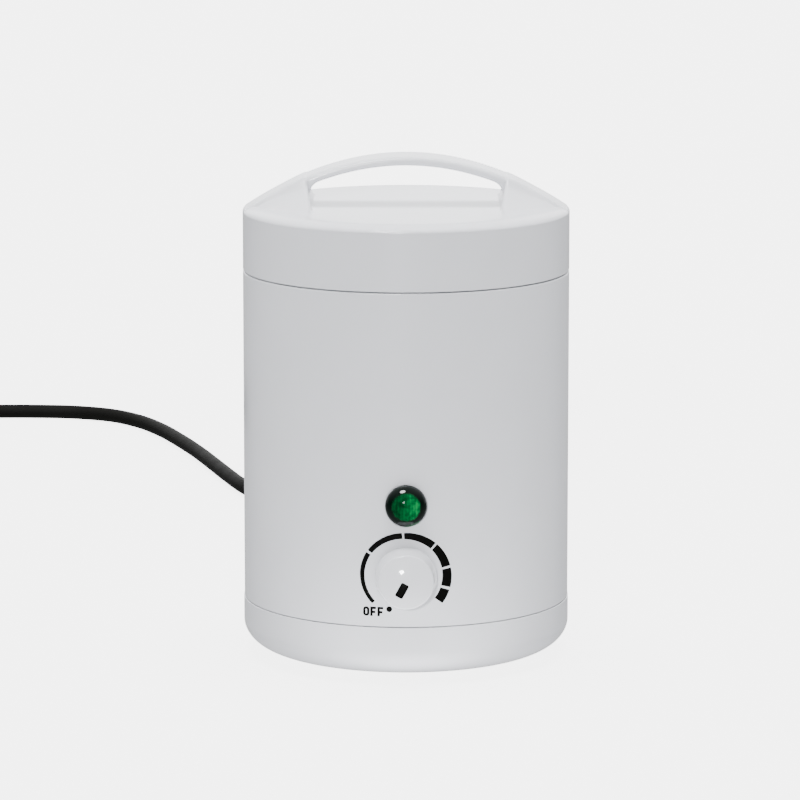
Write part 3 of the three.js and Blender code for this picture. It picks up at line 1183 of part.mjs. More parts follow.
// One wing as a slab between its swept top and a flat underside; inset makes its hollow
function lidWing(side, inset) {
  const rim = RIM_RADIUS - inset;
  const slotEdge = (y) => BODY_RADIUS - WING_SPAN + inset - SLOT_NARROWING * (y / RIM_RADIUS) ** 2;
  const tipY = Math.sqrt(rim ** 2 - slotEdge(rim * WING_TIP_share) ** 2);
  const halfStrap = Math.max(STRAP_WIDTH / 2 - inset, 0);
  const ridge = (x) => Math.max(archTop(x) - DECK - STRAP_THICKNESS * WING_RIDGE_share - inset, 0);
  const outShares = inset
    ? [0, 0.14, 0.25, 0.42, 0.7] : [0, 0.13, 0.19, 0.25, 0.32, 0.42, 0.57, 0.78, 0.96];
  const acrossShares = [...outShares.slice(1).map((share) => -share).reverse(), ...outShares];
  const alongShares = inset ? [0, 0.25, 0.5, 0.75, 1] : [0, 0.12, 0.3, 0.5, 0.7, 0.86, 1];
  const place = (u, v) => {
    const y = v * tipY;
    const x = slotEdge(y) + (Math.sqrt(rim ** 2 - y ** 2) - slotEdge(y)) * u;
    return [x, y];
  };
  const upper = (u, v) => {
    const [x, y] = place(u, v);
    const reach = Math.max(Math.sqrt(Math.max(rim ** 2 - x ** 2, 0)), halfStrap + WING_SINK);
    const out = THREE.MathUtils.clamp((Math.abs(y) - halfStrap) / (reach - halfStrap), 0, 1);
    const fall = (1 - out) ** WING_FALL_POWER;
    const foot = DECK - shoulderDrop(Math.hypot(x, y)) - WING_SINK - inset;
    return [side * x, side * y, foot + (ridge(x) + WING_SINK) * fall];
  };
  const lower = (u, v) => {
    const [x, y] = place(u, v);
    const depth = inset ? LID_WALL + OVERRUN : LID_WALL / 2;
    const lean = inset ? 0 : SLOT_LEAN * (1 - u);
    return [side * (x - lean), side * y, DECK - depth - inset];
  };
  return toSolid(slab(alongShares, acrossShares, upper, lower));
}

function lidStrap() {
  const middle = DECK - STRAP_THICKNESS / 2;
  const foot = middle + archTop(BODY_RADIUS) - DECK;
  const spine = new THREE.QuadraticBezierCurve3(
    new THREE.Vector3(-BODY_RADIUS, 0, foot),
    new THREE.Vector3(0, 0, 2 * (middle + HANDLE_RISE) - foot),
    new THREE.Vector3(BODY_RADIUS, 0, foot),
  );
  const section = roundedRectangle(
    STRAP_WIDTH, STRAP_THICKNESS, STRAP_THICKNESS * STRAP_CORNER_share,
  );
  const shape = new THREE.Shape(section.map(([x, y]) => new THREE.Vector2(x, y)));
  const strap = new THREE.ExtrudeGeometry(shape, { steps: STRAP_STEPS, extrudePath: spine });
  const rimRound = toSolid(turned([
    [0, DECK - LID_WALL / 2], [BODY_RADIUS - GAP, DECK - LID_WALL / 2],
    [RIM_RADIUS, DECK + LID_EDGE], [RIM_RADIUS, DECK + 2 * HANDLE_RISE],
    [0, DECK + 2 * HANDLE_RISE],
  ], BODY_SIDES));
  return toSolid(strap).intersect(rimRound);
}

function addLid() {
  const wings = [1, -1].map((side) => lidWing(side, 0));
  const hollows = [1, -1].map((side) => lidWing(side, LID_WALL));
  add('lid', cut(join(lidCap(), ...wings, lidStrap()), ...hollows), WHITE);
}

// Free mains lead. The coil spirals in on the lower layer, climbs in the half turn where it
// reverses, and spirals out on the upper layer.

class CoilCurve extends THREE.Curve {
  static turnsAt(turns) {
    const radius = COIL_RADIUS - COIL_PITCH * Math.min(turns, COIL_TURNS - turns);
    const climb = THREE.MathUtils.smoothstep(
      turns, (COIL_TURNS - COIL_CLIMB_TURNS) / 2, (COIL_TURNS + COIL_CLIMB_TURNS) / 2,
    );
    const angle = QUARTER_TURN + FULL_TURN * turns;
    return new THREE.Vector3(
      COIL_CENTRE[0] + radius * Math.cos(angle), COIL_CENTRE[1] + radius * Math.sin(angle),
      COIL_LOW + COIL_RISE * climb,
    );
  }

  // The straight end of one cord diameter, before the first turn or after the last
  static straight(end, distance) {
    const at = end ? COIL_TURNS : 0;
    const step = end ? -1e-4 : 1e-4;
    const edge = CoilCurve.turnsAt(at);
    const outward = edge.clone().sub(CoilCurve.turnsAt(at + step)).normalize();
    return edge.addScaledVector(outward, distance);
  }

  getPoint(t) {
    const end = t > 0.5;
    const fromEnd = end ? 1 - t : t;
    if (fromEnd < COIL_STRAIGHT_share) {
      return CoilCurve.straight(end, 2 * CORD_RADIUS * (1 - fromEnd / COIL_STRAIGHT_share));
    }
    const wound = (t - COIL_STRAIGHT_share) / (1 - 2 * COIL_STRAIGHT_share);
    return CoilCurve.turnsAt(COIL_TURNS * THREE.MathUtils.clamp(wound, 0, 1));
  }
}

function leastGap(curve, diameter) {
  const points = curve.getSpacedPoints(COIL_MEASURING_POINTS);
  const spacing = curve.getLength() / COIL_MEASURING_POINTS;
  const apart = Math.ceil((2.5 * diameter) / spacing);
  let least = Infinity;
  for (let i = 0; i < points.length; i += 1) {
    for (let j = i + apart; j < points.length; j += 1) {
      least = Math.min(least, points[i].distanceTo(points[j]));
    }
  }
  return least - diameter;
}

function addFreeCord() {
  const coil = new CoilCurve();
  coil.arcLengthDivisions = 2 * COIL_MEASURING_POINTS;
  const steps = Math.round(COIL_TURNS * COIL_STEPS_A_TURN) + 2;
  add('cord_coil', tube(coil, CORD_RADIUS, steps, COIL_SIDES), CORD_BLACK);

  const away = (end, distance) => CoilCurve.straight(end, 2 * CORD_RADIUS + distance).toArray();
  const free = smooth([
    [0, RELIEF_TIP, CORD_EXIT_Z], [0, RELIEF_TIP + CORD_RADIUS, CORD_EXIT_Z],
    ...FREE_ROUTE, away(false, 4 * CORD_RADIUS), away(false, GAP),
  ]);
  add('cord_free', tube(free, CORD_RADIUS, FREE_STEPS, CORD_SIDES), CORD_BLACK);

  const start = away(true, GAP);
  const endY = COIL_CENTRE[1] - CORD_END_LENGTH - PLUG_TAIL_LENGTH / 2;
  const plugX = start[0] - CORD_RADIUS;
  const end = smooth([
    start, away(true, 3 * CORD_RADIUS),
    [plugX, start[1] - CORD_END_LENGTH * CORD_END_SLOPE_share, (start[2] + PLUG_AXIS_Z) / 2],
    [plugX, endY + 2 * CORD_RADIUS, PLUG_AXIS_Z], [plugX, endY, PLUG_AXIS_Z],
  ]);
  add('cord_end', tube(end, CORD_RADIUS, CORD_END_STEPS, CORD_SIDES), CORD_BLACK);
  const length = free.getLength() + coil.getLength() + end.getLength() + 2 * GAP;
  console.log(`cord length ${length.toFixed(1)} mm, coil gap to itself ${
    leastGap(coil, 2 * CORD_RADIUS).toFixed(2)} mm`);
  return { plugX, endY };
}

// A flat tie round the turns at one place
function addCordTie() {
  const turnShare = TIE_DEGREES / 360 - 1 / 4;
  const outer = COIL_RADIUS - COIL_PITCH * turnShare;
  const inner = outer - COIL_PITCH;
  const spare = CORD_RADIUS + TIE_SLACK;
  const width = outer - inner + 2 * spare;
  const height = COIL_RISE + 2 * CORD_RADIUS + 2 * (COIL_LIFT - TIE_THICKNESS);
  const loop = roundedRectangle(
    width + 2 * TIE_THICKNESS, height + 2 * TIE_THICKNESS, CORD_RADIUS / 2 + TIE_THICKNESS,
  );
  const opening = roundedRectangle(width, height, CORD_RADIUS / 2);
  const band = cut(
    toSolid(plate(loop, -TIE_WIDTH / 2, TIE_WIDTH)),
    toSolid(plate(opening, -TIE_WIDTH / 2 - OVERRUN, TIE_WIDTH + 2 * OVERRUN)),
  );
  const mesh = add('cord_tie', toGeometry(band).rotateX(QUARTER_TURN)
    .translate((outer + inner) / 2, 0, 0).rotateZ(radians(TIE_DEGREES)), RUBBER);
  mesh.position.set(...COIL_CENTRE, COIL_LOW + COIL_RISE / 2);
}

// Plug: a flat moulded body that narrows to a ribbed tail, with two round pins

function addPlug({ plugX, endY }) {
  const plug = new THREE.Group();
  plug.position.set(plugX, endY - GAP, PLUG_AXIS_Z);
  heater.add(plug);
  const shoulder = PLUG_TAIL_LENGTH + PLUG_LENGTH * PLUG_CHAMFER_START_share;
  const front = PLUG_TAIL_LENGTH + PLUG_LENGTH;
  const edge = PLUG_EDGE;
  const half = PLUG_WIDTH / 2 - edge;
  const neck = PLUG_NECK_WIDTH / 2 - edge;
  const outline = [
    [neck, -PLUG_TAIL_LENGTH - edge], [half, -shoulder], [half, edge - front],
    [-half, edge - front], [-half, -shoulder], [-neck, -PLUG_TAIL_LENGTH - edge],
  ];
  const shape = new THREE.Shape(outline.map(([x, y]) => new THREE.Vector2(x, y)));
  const moulding = new THREE.ExtrudeGeometry(shape, {
    depth: PLUG_THICKNESS - 2 * edge, bevelThickness: edge, bevelSize: edge, bevelSegments: 1,
  }).translate(0, 0, edge - PLUG_THICKNESS / 2);
  const lying = (geometry) => geometry.rotateX(QUARTER_TURN);
  const rib = PLUG_TAIL_LENGTH / PLUG_RIBS;
  const tailRadius = (z) => PLUG_TAIL_TIP_RADIUS
    + ((PLUG_TAIL_RADIUS - PLUG_TAIL_TIP_RADIUS) * z) / PLUG_TAIL_LENGTH;
  const ribs = Array.from({ length: PLUG_RIBS }, (_, i) => {
    const radius = tailRadius(rib * i);
    const groove = rib * (i + PLUG_RIB_share);
    return [
      [radius, rib * i], [radius, groove], [radius - PLUG_GROOVE, groove],
      [radius - PLUG_GROOVE, rib * (i + 1)],
    ];
  }).flat();
  const tail = lying(turned(
    [[0, 0], ...ribs, [PLUG_TAIL_RADIUS, PLUG_TAIL_LENGTH],
      [PLUG_TAIL_RADIUS, shoulder], [0, shoulder]], BOSS_SIDES,
  ));
  const sockets = [-1, 1].map((side) => toSolid(lying(post(
    PIN_RADIUS + GAP, front - PIN_SEAT, front + OVERRUN, SCREW_SIDES,
  )).translate((side * PIN_SPACING) / 2, 0, 0)));
  const body = cut(join(toSolid(moulding), toSolid(tail)), ...sockets);
  add('plug_body', body, RUBBER, plug);
  const tip = front + PIN_LENGTH;
  [-1, 1].forEach((side, i) => {
    const pin = lying(turned([
      [0, front - PIN_SEAT + GAP], [PIN_RADIUS, front - PIN_SEAT + GAP],
      [PIN_RADIUS, tip - PIN_RADIUS],
      ...arc(0, tip - PIN_RADIUS, PIN_RADIUS, PIN_RADIUS, 30, 90, 2),
    ], SCREW_SIDES));
    add(`plug_pin_${i + 1}`, pin, BRASS, plug).position.x = (side * PIN_SPACING) / 2;
  });
}

addCasing();
addBase();
addBaseScrews();
addFeet();
addWell();
addHeaterBand();
addBandClamp();
const shaft = addThermostat();
addKnob(shaft);
const lampBack = addLamp();
const hung = addUnderWell();
addTerminalBlock();
addStrainRelief();
addCordInside();
addCores();
addMainWires(hung.fuseZ);
addLampLeads(lampBack);
addCapillary(hung.bulbZ);
addLid();
addPlug(addFreeCord());
addCordTie();

export default heater;
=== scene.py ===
import math

import bmesh
import bpy
import numpy as np
from bpy.props import FloatProperty, FloatVectorProperty, IntProperty, PointerProperty
from bpy.types import Operator, Panel, PropertyGroup
from mathutils import Matrix, Vector


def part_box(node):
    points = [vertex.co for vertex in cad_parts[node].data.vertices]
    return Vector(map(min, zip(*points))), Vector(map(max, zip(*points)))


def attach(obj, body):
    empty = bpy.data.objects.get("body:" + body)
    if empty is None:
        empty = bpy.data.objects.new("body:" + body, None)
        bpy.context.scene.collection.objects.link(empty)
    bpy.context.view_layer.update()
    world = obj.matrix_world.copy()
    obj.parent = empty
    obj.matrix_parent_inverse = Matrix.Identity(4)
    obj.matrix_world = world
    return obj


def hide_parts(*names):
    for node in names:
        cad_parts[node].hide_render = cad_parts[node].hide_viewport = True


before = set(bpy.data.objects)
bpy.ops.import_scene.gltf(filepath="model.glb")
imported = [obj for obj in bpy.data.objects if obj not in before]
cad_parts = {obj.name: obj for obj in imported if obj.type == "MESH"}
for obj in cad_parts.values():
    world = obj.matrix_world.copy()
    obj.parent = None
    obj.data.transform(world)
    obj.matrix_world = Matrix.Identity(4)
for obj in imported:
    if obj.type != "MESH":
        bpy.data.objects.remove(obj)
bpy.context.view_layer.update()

# Dresses a wax heater: a round casing on a screwed base, a lift-off lid with a moulded arch
# handle, a thermostat knob in a printed dial, a green pilot lamp and a coiled mains lead.

bl_info = {
    "name": "Wax heater",
    "version": (1, 0, 0),
    "blender": (4, 5, 0),
    "location": "View3D > Sidebar > Wax heater",
    "description": "Makes the visible pieces and the studio of a wax heater on its frame",
    "category": "Object",
}

MM = 0.001
FULL_TURN = 2 * math.pi


def low(node):
    """The lowest corner of a node's box."""
    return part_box(node)[0]


def high(node):
    """The highest corner of a node's box."""
    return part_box(node)[1]


def middle(node):
    """The middle of a node's box."""
    return (low(node) + high(node)) / 2


# Sizes read from the frame
BODY_RADIUS = high("casing").x
CASING_TOP = high("casing").z
BASE_RADIUS = high("base_cover").x
BASE_BOTTOM = low("base_cover").z
FLANGE_TOP = high("heating_well").z
FLANGE_RADIUS = high("heating_well").x
WELL_UNDER = low("heating_well").z
SKIRT_BOTTOM = low("lid").z
DIAL = middle("control_knob")
LAMP = middle("lamp_lens")
OUTLET = middle("strain_relief")
RELIEF_TIP = high("strain_relief").y

# Sizes of the shells, as the frame's solids have them
GAP = 0.3 * MM
LID_GAP = 0.4 * MM
CASING_HEIGHT = 121.3 * MM
CASING_WALL = 2.5 * MM
CASING_EDGE = 0.5 * MM
REBATE_DEPTH = 5 * MM
LEDGE_WIDTH = 11.5 * MM
LEDGE_THICKNESS = 2.5 * MM
LEDGE_SLOPE = 4 * MM
FOOT_CIRCLE = 33 * MM
SCREW_CIRCLE = 41 * MM
WELL_SCREW_CIRCLE = 49.8 * MM
SPOT_FACE_DEPTH = 0.6 * MM
BASE_WALL = 2.5 * MM
BASE_ROUND_WIDTH = 14.4 * MM
BASE_ROUND_HEIGHT = 10.5 * MM
TONGUE_HEIGHT = 3 * MM
TONGUE_THICKNESS = 2 * MM
LID_HEIGHT = 23.7 * MM
LID_WALL = 2.5 * MM
SKIRT_OUTSIDE = 57 * MM
SKIRT_THICKNESS = 2 * MM
SKIRT_ROOT = 3 * MM
CASING_BOTTOM = CASING_TOP - CASING_HEIGHT
BASE_TOP = CASING_BOTTOM - GAP
LID_BOTTOM = CASING_TOP + LID_GAP
DECK = LID_BOTTOM + LID_HEIGHT
CASING_INSIDE = BODY_RADIUS - CASING_WALL
SPOT_FACE = BODY_RADIUS - SPOT_FACE_DEPTH


def amount_property(name, description, default, lowest, highest, **kind):
    """A number that can be changed within a range."""
    return FloatProperty(
        name=name, description=description, default=default, min=lowest, max=highest, **kind)


def length_property(name, description, default, lowest, highest, precision=5):
    """A length that can be changed within a range."""
    return amount_property(
        name, description, default, lowest, highest, unit="LENGTH", precision=precision)


class HeaterSizes(PropertyGroup):
    """Sizes of the finished pieces that can be changed."""

    sides: IntProperty(
        name="Sides", description="Sides of the round shells", default=256, min=48, max=512)
    lid_step: length_property(
        "Lid step", "Distance between points on the moulded lid", 0.75 * MM, 0.4 * MM, 2 * MM)
    lid_edge: length_property(
        "Lid edge", "Height of the lid's round shoulder", 2.2 * MM, MM, 4 * MM)
    lid_shoulder: length_property(
        "Lid shoulder", "Width of the lid's round shoulder", 7.5 * MM, 4 * MM, 14 * MM)
    handle_rise: length_property(
        "Handle rise", "Height of the handle over the lid's deck",
        high("lid").z - DECK, 10 * MM, 30 * MM)
    strap_width: length_property(
        "Strap width", "Width of the handle's strap", 18 * MM, 10 * MM, 26 * MM)
    strap_thickness: length_property(
        "Strap thickness", "Thickness of the handle's strap", 3.2 * MM, 2 * MM, 8 * MM)
    handle_reach: length_property(
        "Handle reach", "Distance from the axis where the arch meets the deck",
        57.4 * MM, 50 * MM, 60 * MM)
    wing_span: length_property(
        "Wing span", "Length of each wing from the rim to the slot", 24 * MM, 14 * MM, 34 * MM)
    knob_dome: length_property(
        "Knob dome", "Radius of the dome of the knob's face", 29 * MM, 15 * MM, 80 * MM)
    ink: length_property(
        "Ink", "How far the printed dial stands over the casing",
        0.03 * MM, 0.01 * MM, 0.1 * MM, 6)
    lead: length_property("Lead diameter", "Diameter of the mains lead", 6.4 * MM, 4 * MM, 9 * MM)


def colour_property(name, description, default):
    """A colour of a finish."""
    return FloatVectorProperty(
        name=name, description=description, default=default, size=3, min=0, max=1,
        subtype="COLOR")


class HeaterColours(PropertyGroup):
    """Base colours of the finishes, in linear light."""

    white: colour_property("White", "Moulded housing", (0.69, 0.7, 0.735))
    print_black: colour_property("Print", "Dial print and pointer", (0.002, 0.002, 0.0017))
    lens_dark: colour_property("Lens ring", "Thick outer ring of the lens", (0.0, 0.003, 0.0015))
    # The lens centre's colour is also the colour of its painted glints and of the painted light
    # on its right and its lower rim
    lens_bright: colour_property("Lens centre", "Thin middle of the lens", (0.0, 0.2, 0.05))
    lead_black: colour_property("Lead", "Sheath of the mains lead", (0.006, 0.006, 0.0055))
    rubber: colour_property("Rubber", "Feet, strain relief, tie and plug", (0.016, 0.016, 0.015))
    aluminium: colour_property("Aluminium", "Heating well and fuse", (0.76, 0.77, 0.78))
    steel: colour_property("Steel", "Screws, clamps and clips", (0.52, 0.53, 0.54))
    brass: colour_property("Brass", "Plug pins", (0.72, 0.56, 0.26))
    copper: colour_property("Copper", "Sensing bulb and capillary", (0.6, 0.25, 0.12))
    floor: colour_property("Floor", "Pale studio floor", (0.26, 0.26, 0.26))


class HeaterStudio(PropertyGroup):
    """The camera's place and the strength of the lights."""

    camera_distance: amount_property(
        "Camera distance", "Distance from the heater's axis to the camera",
        1.7267, 0.5, 5, unit="LENGTH")
    camera_height: amount_property(
        "Camera height", "Height of the camera over the floor", 0.4003, 0, 3, unit="LENGTH")
    camera_pitch: FloatProperty(
        name="Camera pitch", description="How far the camera looks down",
        default=math.radians(10.06), subtype="ANGLE")
    camera_yaw: FloatProperty(
        name="Camera yaw", description="How far the camera looks to its left",
        default=0.0013, subtype="ANGLE")
    lens: amount_property("Lens", "Focal length on a 36 mm wide sensor", 213.5, 50, 400)
    sky: amount_property("Sky", "Strength of the even light from all sides", 0.77, 0, 5)
    sky_slope: amount_property(
        "Sky slope", "How much stronger the sky is in front than on average",
        -0.72, -1, 1, subtype="FACTOR")
    sky_lean: amount_property(
        "Sky lean", "How much stronger the sky is on the left than on average",
        -0.13, -1, 1, subtype="FACTOR")
    from_below: amount_property(
        "From below", "How much stronger the sky is straight below", 2.95, 0, 3)
    backdrop: amount_property(
        "Backdrop", "Strength of the bright backdrop behind the heater", 1.8, 0, 10)
    overhead: amount_property("Overhead light", "Strength of the soft light from above", 8, 0, 30)
    mirrored: amount_property(
        "Mirrored", "Share of the low sky's strength that shows in gloss",
        0.2, 0, 1, subtype="FACTOR")
    spark: amount_property("Spark", "Strength of the lamp that shows only in gloss", 2.6, 0, 30)
    table_glow: amount_property(
        "Table glow", "Light from the table before the heater", 0.1, 0, 5, unit="POWER")
    floor_light: amount_property(
        "Floor light", "Light that the white glass floor gives by itself", 4.6, 0, 20)
    key: amount_property("Key light", "Strength of the lamp in front on the left", 3, 0, 30)
    glint: amount_property(
        "Front glint", "Strength of the small lamp that shows in the knob", 1.6, 0, 30)


# Nodes, for the finishes, the sky and the Geometry Nodes


def node(tree, kind, links, **values):
    """A new node of a tree: links go to its inputs by name or number, values to its options."""
    made = tree.nodes.new(kind)
    for option, value in values.items():
        setattr(made, option, value)
    for key, source in links.items():
        socket = made.inputs[key]
        if isinstance(source, bpy.types.NodeSocket):
            tree.links.new(source, socket)
        else:
            socket.default_value = source
    return made


def ramp(tree, source, start, end, first, last, shape="SMOOTHSTEP"):
    """A value that goes from first to last as its source goes from start to end."""
    return node(tree, "ShaderNodeMapRange", {
        "Value": source, "From Min": start, "From Max": end, "To Min": first, "To Max": last},
        interpolation_type=shape).outputs["Result"]


def combine(tree, operation, first, second):
    """The result of a sum on two values."""
    return node(
        tree, "ShaderNodeMath", {0: first, 1: second}, operation=operation).outputs["Value"]


def node_of_type(tree, kind):
    """The first node of a type in a tree."""
    return next(found for found in tree.nodes if found.type == kind)


# Finishes. Every one has a faint mottle, an uneven gloss and a grain from noise in the
# piece's own coordinates.


MOTTLE_SIZE = 18 * MM
GLOSS_SIZE = 7 * MM
GLOSS_SPREAD = 0.15
SPUN_RING_SIZE = 3 * MM
LENS_RIB_PITCH = 1.1 * MM
LENS_RIBS_RADIUS = 5.6 * MM
LENS_RING_START = 4.4 * MM
# Distances down and to the right over which painted light grows on the lens's lower rim
LENS_PAINTED_LIT_RIM = (6.2 * MM, 7.6 * MM)
LENS_GLOSSY_FROM = 5.2 * MM
LENS_CLEAR_WITHIN = 4.2 * MM


def finish_name(name):
    """The name of a finish's material, apart from the frame's own materials."""
    return "finish_" + name


def surface(name, colour, roughness, grain=(1.5 * MM, 0.01 * MM), mottle=0.03, **shader_values):
    """A finish: grain is the size and height of its bumps, mottle the spread of its shade."""
    name = finish_name(name)
    if name in bpy.data.materials:
        return bpy.data.materials[name]
    material = bpy.data.materials.new(name)
    material.use_nodes = True
    tree = material.node_tree
    shader = tree.nodes["Principled BSDF"]
    place = tree.nodes.new("ShaderNodeTexCoord").outputs["Object"]

    def noise(size, detail):
        return node(tree, "ShaderNodeTexNoise", {
            "Scale": 1 / size, "Detail": detail, "Vector": place}).outputs["Fac"]

    shade = node(tree, "ShaderNodeValToRGB", {"Fac": noise(MOTTLE_SIZE, 3)})
    dark, light = shade.color_ramp.elements
    dark.position, light.position = 0.3, 0.7
    dark.color = (*[c * (1 - mottle) for c in colour], 1)
    light.color = (*[min(c * (1 + mottle), 1) for c in colour], 1)
    gloss = ramp(tree, noise(GLOSS_SIZE, 4), 0, 1, roughness * (1 - GLOSS_SPREAD),
                 roughness * (1 + GLOSS_SPREAD), "LINEAR")
    bump = node(tree, "ShaderNodeBump", {
        "Strength": 0.5, "Distance": grain[1], "Height": noise(grain[0], 5)})
    for socket, source in (("Base Color", shade.outputs["Color"]), ("Roughness", gloss),
                           ("Normal", bump.outputs["Normal"])):
        tree.links.new(source, shader.inputs[socket])
    for socket, value in shader_values.items():
        shader.inputs[socket.replace("_", " ")].default_value = value
    return material


def colours():
    """The colours set in the scene."""
    return bpy.context.scene.heater_colours


def sizes():
    """The sizes set in the scene."""
    return bpy.context.scene.heater_sizes


# Each finish's colour, of its own or by its name in the scene's colours, its roughness, the
# size and height of its grain, its mottle and its shader values
FINE_GRAIN = (0.5 * MM, 0.01 * MM)
FINISHES = {
    "white_plastic": ("white", 0.2, (4 * MM, 0.004 * MM), 0.012, {
        "Coat_Weight": 0.25, "Coat_Roughness": 0.06}),
    "knob_plastic": ("white", 0.08, (4 * MM, 0.002 * MM), 0.012, {}),
    "print_ink": ("print_black", 0.42, (0.3 * MM, 0.004 * MM), 0.2, {
        "Specular_IOR_Level": 0.04}),
    "pointer_paint": ("print_black", 0.34, (0.8 * MM, 0.02 * MM), 0.25, {
        "Specular_IOR_Level": 0.1}),
    "lead_sheath": ("lead_black", 0.55, (1.1 * MM, 0.02 * MM), 0.14, {
        "Specular_IOR_Level": 0.03}),
    "black_rubber": ("rubber", 0.62, (0.5 * MM, 0.02 * MM), 0.12, {"Specular_IOR_Level": 0.3}),
    "steel": ("steel", 0.34, (0.4 * MM, 0.004 * MM), 0.05, {"Metallic": 1}),
    "brass": ("brass", 0.28, (0.5 * MM, 0.003 * MM), 0.06, {"Metallic": 1}),
    "copper": ("copper", 0.36, (0.5 * MM, 0.004 * MM), 0.09, {"Metallic": 1}),
    "spun_aluminium": ("aluminium", 0.3, (0.8 * MM, 0.002 * MM), 0.03, {
        "Metallic": 1, "Anisotropic": 0.5}),
    "lens_green": ("lens_dark", 0.05, (2 * MM, 0.002 * MM), 0.1, {}),
    "glass_cloth": ((0.62, 0.56, 0.42), 0.9, (0.9 * MM, 0.12 * MM), 0.12, {}),
    "bakelite": ((0.024, 0.018, 0.014), 0.5, FINE_GRAIN, 0.15, {}),
    "nylon": ((0.72, 0.68, 0.58), 0.5, FINE_GRAIN, 0.03, {}),
    "neon_glass": ((0.8, 0.42, 0.28), 0.06, FINE_GRAIN, 0.05, {}),
    "fuse_metal": ("aluminium", 0.36, FINE_GRAIN, 0.06, {"Metallic": 1}),
    "brown_wire": ((0.11, 0.03, 0.01), 0.5, FINE_GRAIN, 0.08, {}),
    "blue_wire": ((0.01, 0.07, 0.32), 0.5, FINE_GRAIN, 0.08, {}),
    "white_sleeve": ((0.76, 0.73, 0.64), 0.8, (0.6 * MM, 0.05 * MM), 0.06, {}),
}


def finish(name):
    """A finish of the table."""
    colour, *values, shader_values = FINISHES[name]
    if isinstance(colour, str):
        colour = getattr(colours(), colour)
    return surface(name, colour, *values, **shader_values)


def spun_aluminium():
    """Aluminium with the fine rings that spinning leaves."""
    name = finish_name("spun_aluminium")
    if name in bpy.data.materials:
        return bpy.data.materials[name]
    material = finish("spun_aluminium")
    tree = material.node_tree
    rings = node(tree, "ShaderNodeTexWave", {
        "Scale": 1 / SPUN_RING_SIZE, "Distortion": 1.2, "Detail": 3,
        "Vector": node_of_type(tree, "TEX_COORD").outputs["Object"]},
        wave_type="RINGS", rings_direction="SPHERICAL")
    lines = node(tree, "ShaderNodeBump", {
        "Strength": 0.35, "Distance": 0.01 * MM, "Height": rings.outputs["Fac"],
        "Normal": node_of_type(tree, "BUMP").outputs["Normal"]})
    tree.links.new(lines.outputs["Normal"], tree.nodes["Principled BSDF"].inputs["Normal"])
    return material


def lens_green():
    """Green glass: dark, with a ribbed middle that has painted glints and painted light on its
    right, and painted light on its lower rim.
    """
    name = finish_name("lens_green")
    if name in bpy.data.materials:
        return bpy.data.materials[name]
    material = finish("lens_green")
    tree = material.node_tree
    shader = tree.nodes["Principled BSDF"]
    place = node(tree, "ShaderNodeMapping", {
        "Vector": node_of_type(tree, "TEX_COORD").outputs["Object"],
        "Location": (-LAMP.x, 0, -LAMP.z), "Scale": (1, 0, 1)}).outputs["Vector"]

    def along(direction):
        return node(tree, "ShaderNodeVectorMath", {0: place, 1: direction},
                    operation="DOT_PRODUCT").outputs["Value"]

    radius = node(tree, "ShaderNodeVectorMath", {0: place}, operation="LENGTH").outputs["Value"]
    ribs = node(tree, "ShaderNodeTexWave", {
        "Scale": FULL_TURN / 20 / LENS_RIB_PITCH, "Distortion": 2.5, "Vector": place})
    # Painted glints: noise that brightens patches of the ribbed middle
    glints = node(tree, "ShaderNodeTexNoise", {"Scale": 0.5 / LENS_RIB_PITCH, "Vector": place})
    ribs_and_painted_light = ramp(tree, radius, LENS_RIBS_RADIUS, LENS_RING_START, 0, 1)
    # The share of bright green: the ribbed middle with its painted glints, and painted light that
    # grows towards the right
    for factor in (ramp(tree, ribs.outputs["Fac"], 0, 1, 0.75, 1),
                   ramp(tree, glints.outputs["Fac"], 0.35, 0.65, 0.4, 1),
                   ramp(tree, along((1, 0, 0)), -2 * MM, 4 * MM, 0.3, 1)):
        ribs_and_painted_light = combine(tree, "MULTIPLY", ribs_and_painted_light, factor)
    # Painted light on the lens's lower rim, as if lit from above through the glass
    rim = ramp(tree, along((0.35, 0, -0.94)), *LENS_PAINTED_LIT_RIM, 0, 0.4)
    ribs_and_painted_light = combine(tree, "MAXIMUM", ribs_and_painted_light, rim)
    gloss = ramp(tree, radius, LENS_GLOSSY_FROM, LENS_CLEAR_WITHIN, 0.5, 0.03)
    tree.links.new(gloss, shader.inputs["Specular IOR Level"])
    blend = node(tree, "ShaderNodeMix", {
        "Factor": ribs_and_painted_light, 6: node_of_type(tree, "VALTORGB").outputs["Color"],
        7: (*colours().lens_bright, 1)}, data_type="RGBA")
    tree.links.new(blend.outputs[2], shader.inputs["Base Color"])
    return material


# Mesh tools


def paint(mesh, material):
    """Gives a mesh one material in place of what it has."""
    mesh.materials.clear()
    mesh.materials.append(material)


def new_object(name, mesh, material=None):
    """An object at the origin that shows a mesh."""
    piece = bpy.data.objects.new(name, mesh)
    bpy.context.scene.collection.objects.link(piece)
    if material:
        paint(mesh, material)
    return piece


def new_mesh(name, points, faces):
    """A closed mesh whose faces point outwards."""
    mesh = bpy.data.meshes.new(name)
    mesh.from_pydata([tuple(point) for point in points], [], [tuple(face) for face in faces])
    work = bmesh.new()
    work.from_mesh(mesh)
    bmesh.ops.recalc_face_normals(work, faces=work.faces)
    work.to_mesh(mesh)
    work.free()
    return mesh


def arc(centre_r, centre_z, radius_r, radius_z, start, end, steps):
    """Points of an arc of an ellipse, from one angle in degrees to another."""
    angles = np.radians(np.linspace(start, end, steps + 1))
    return [(centre_r + radius_r * math.cos(a), centre_z + radius_z * math.sin(a))
            for a in angles]


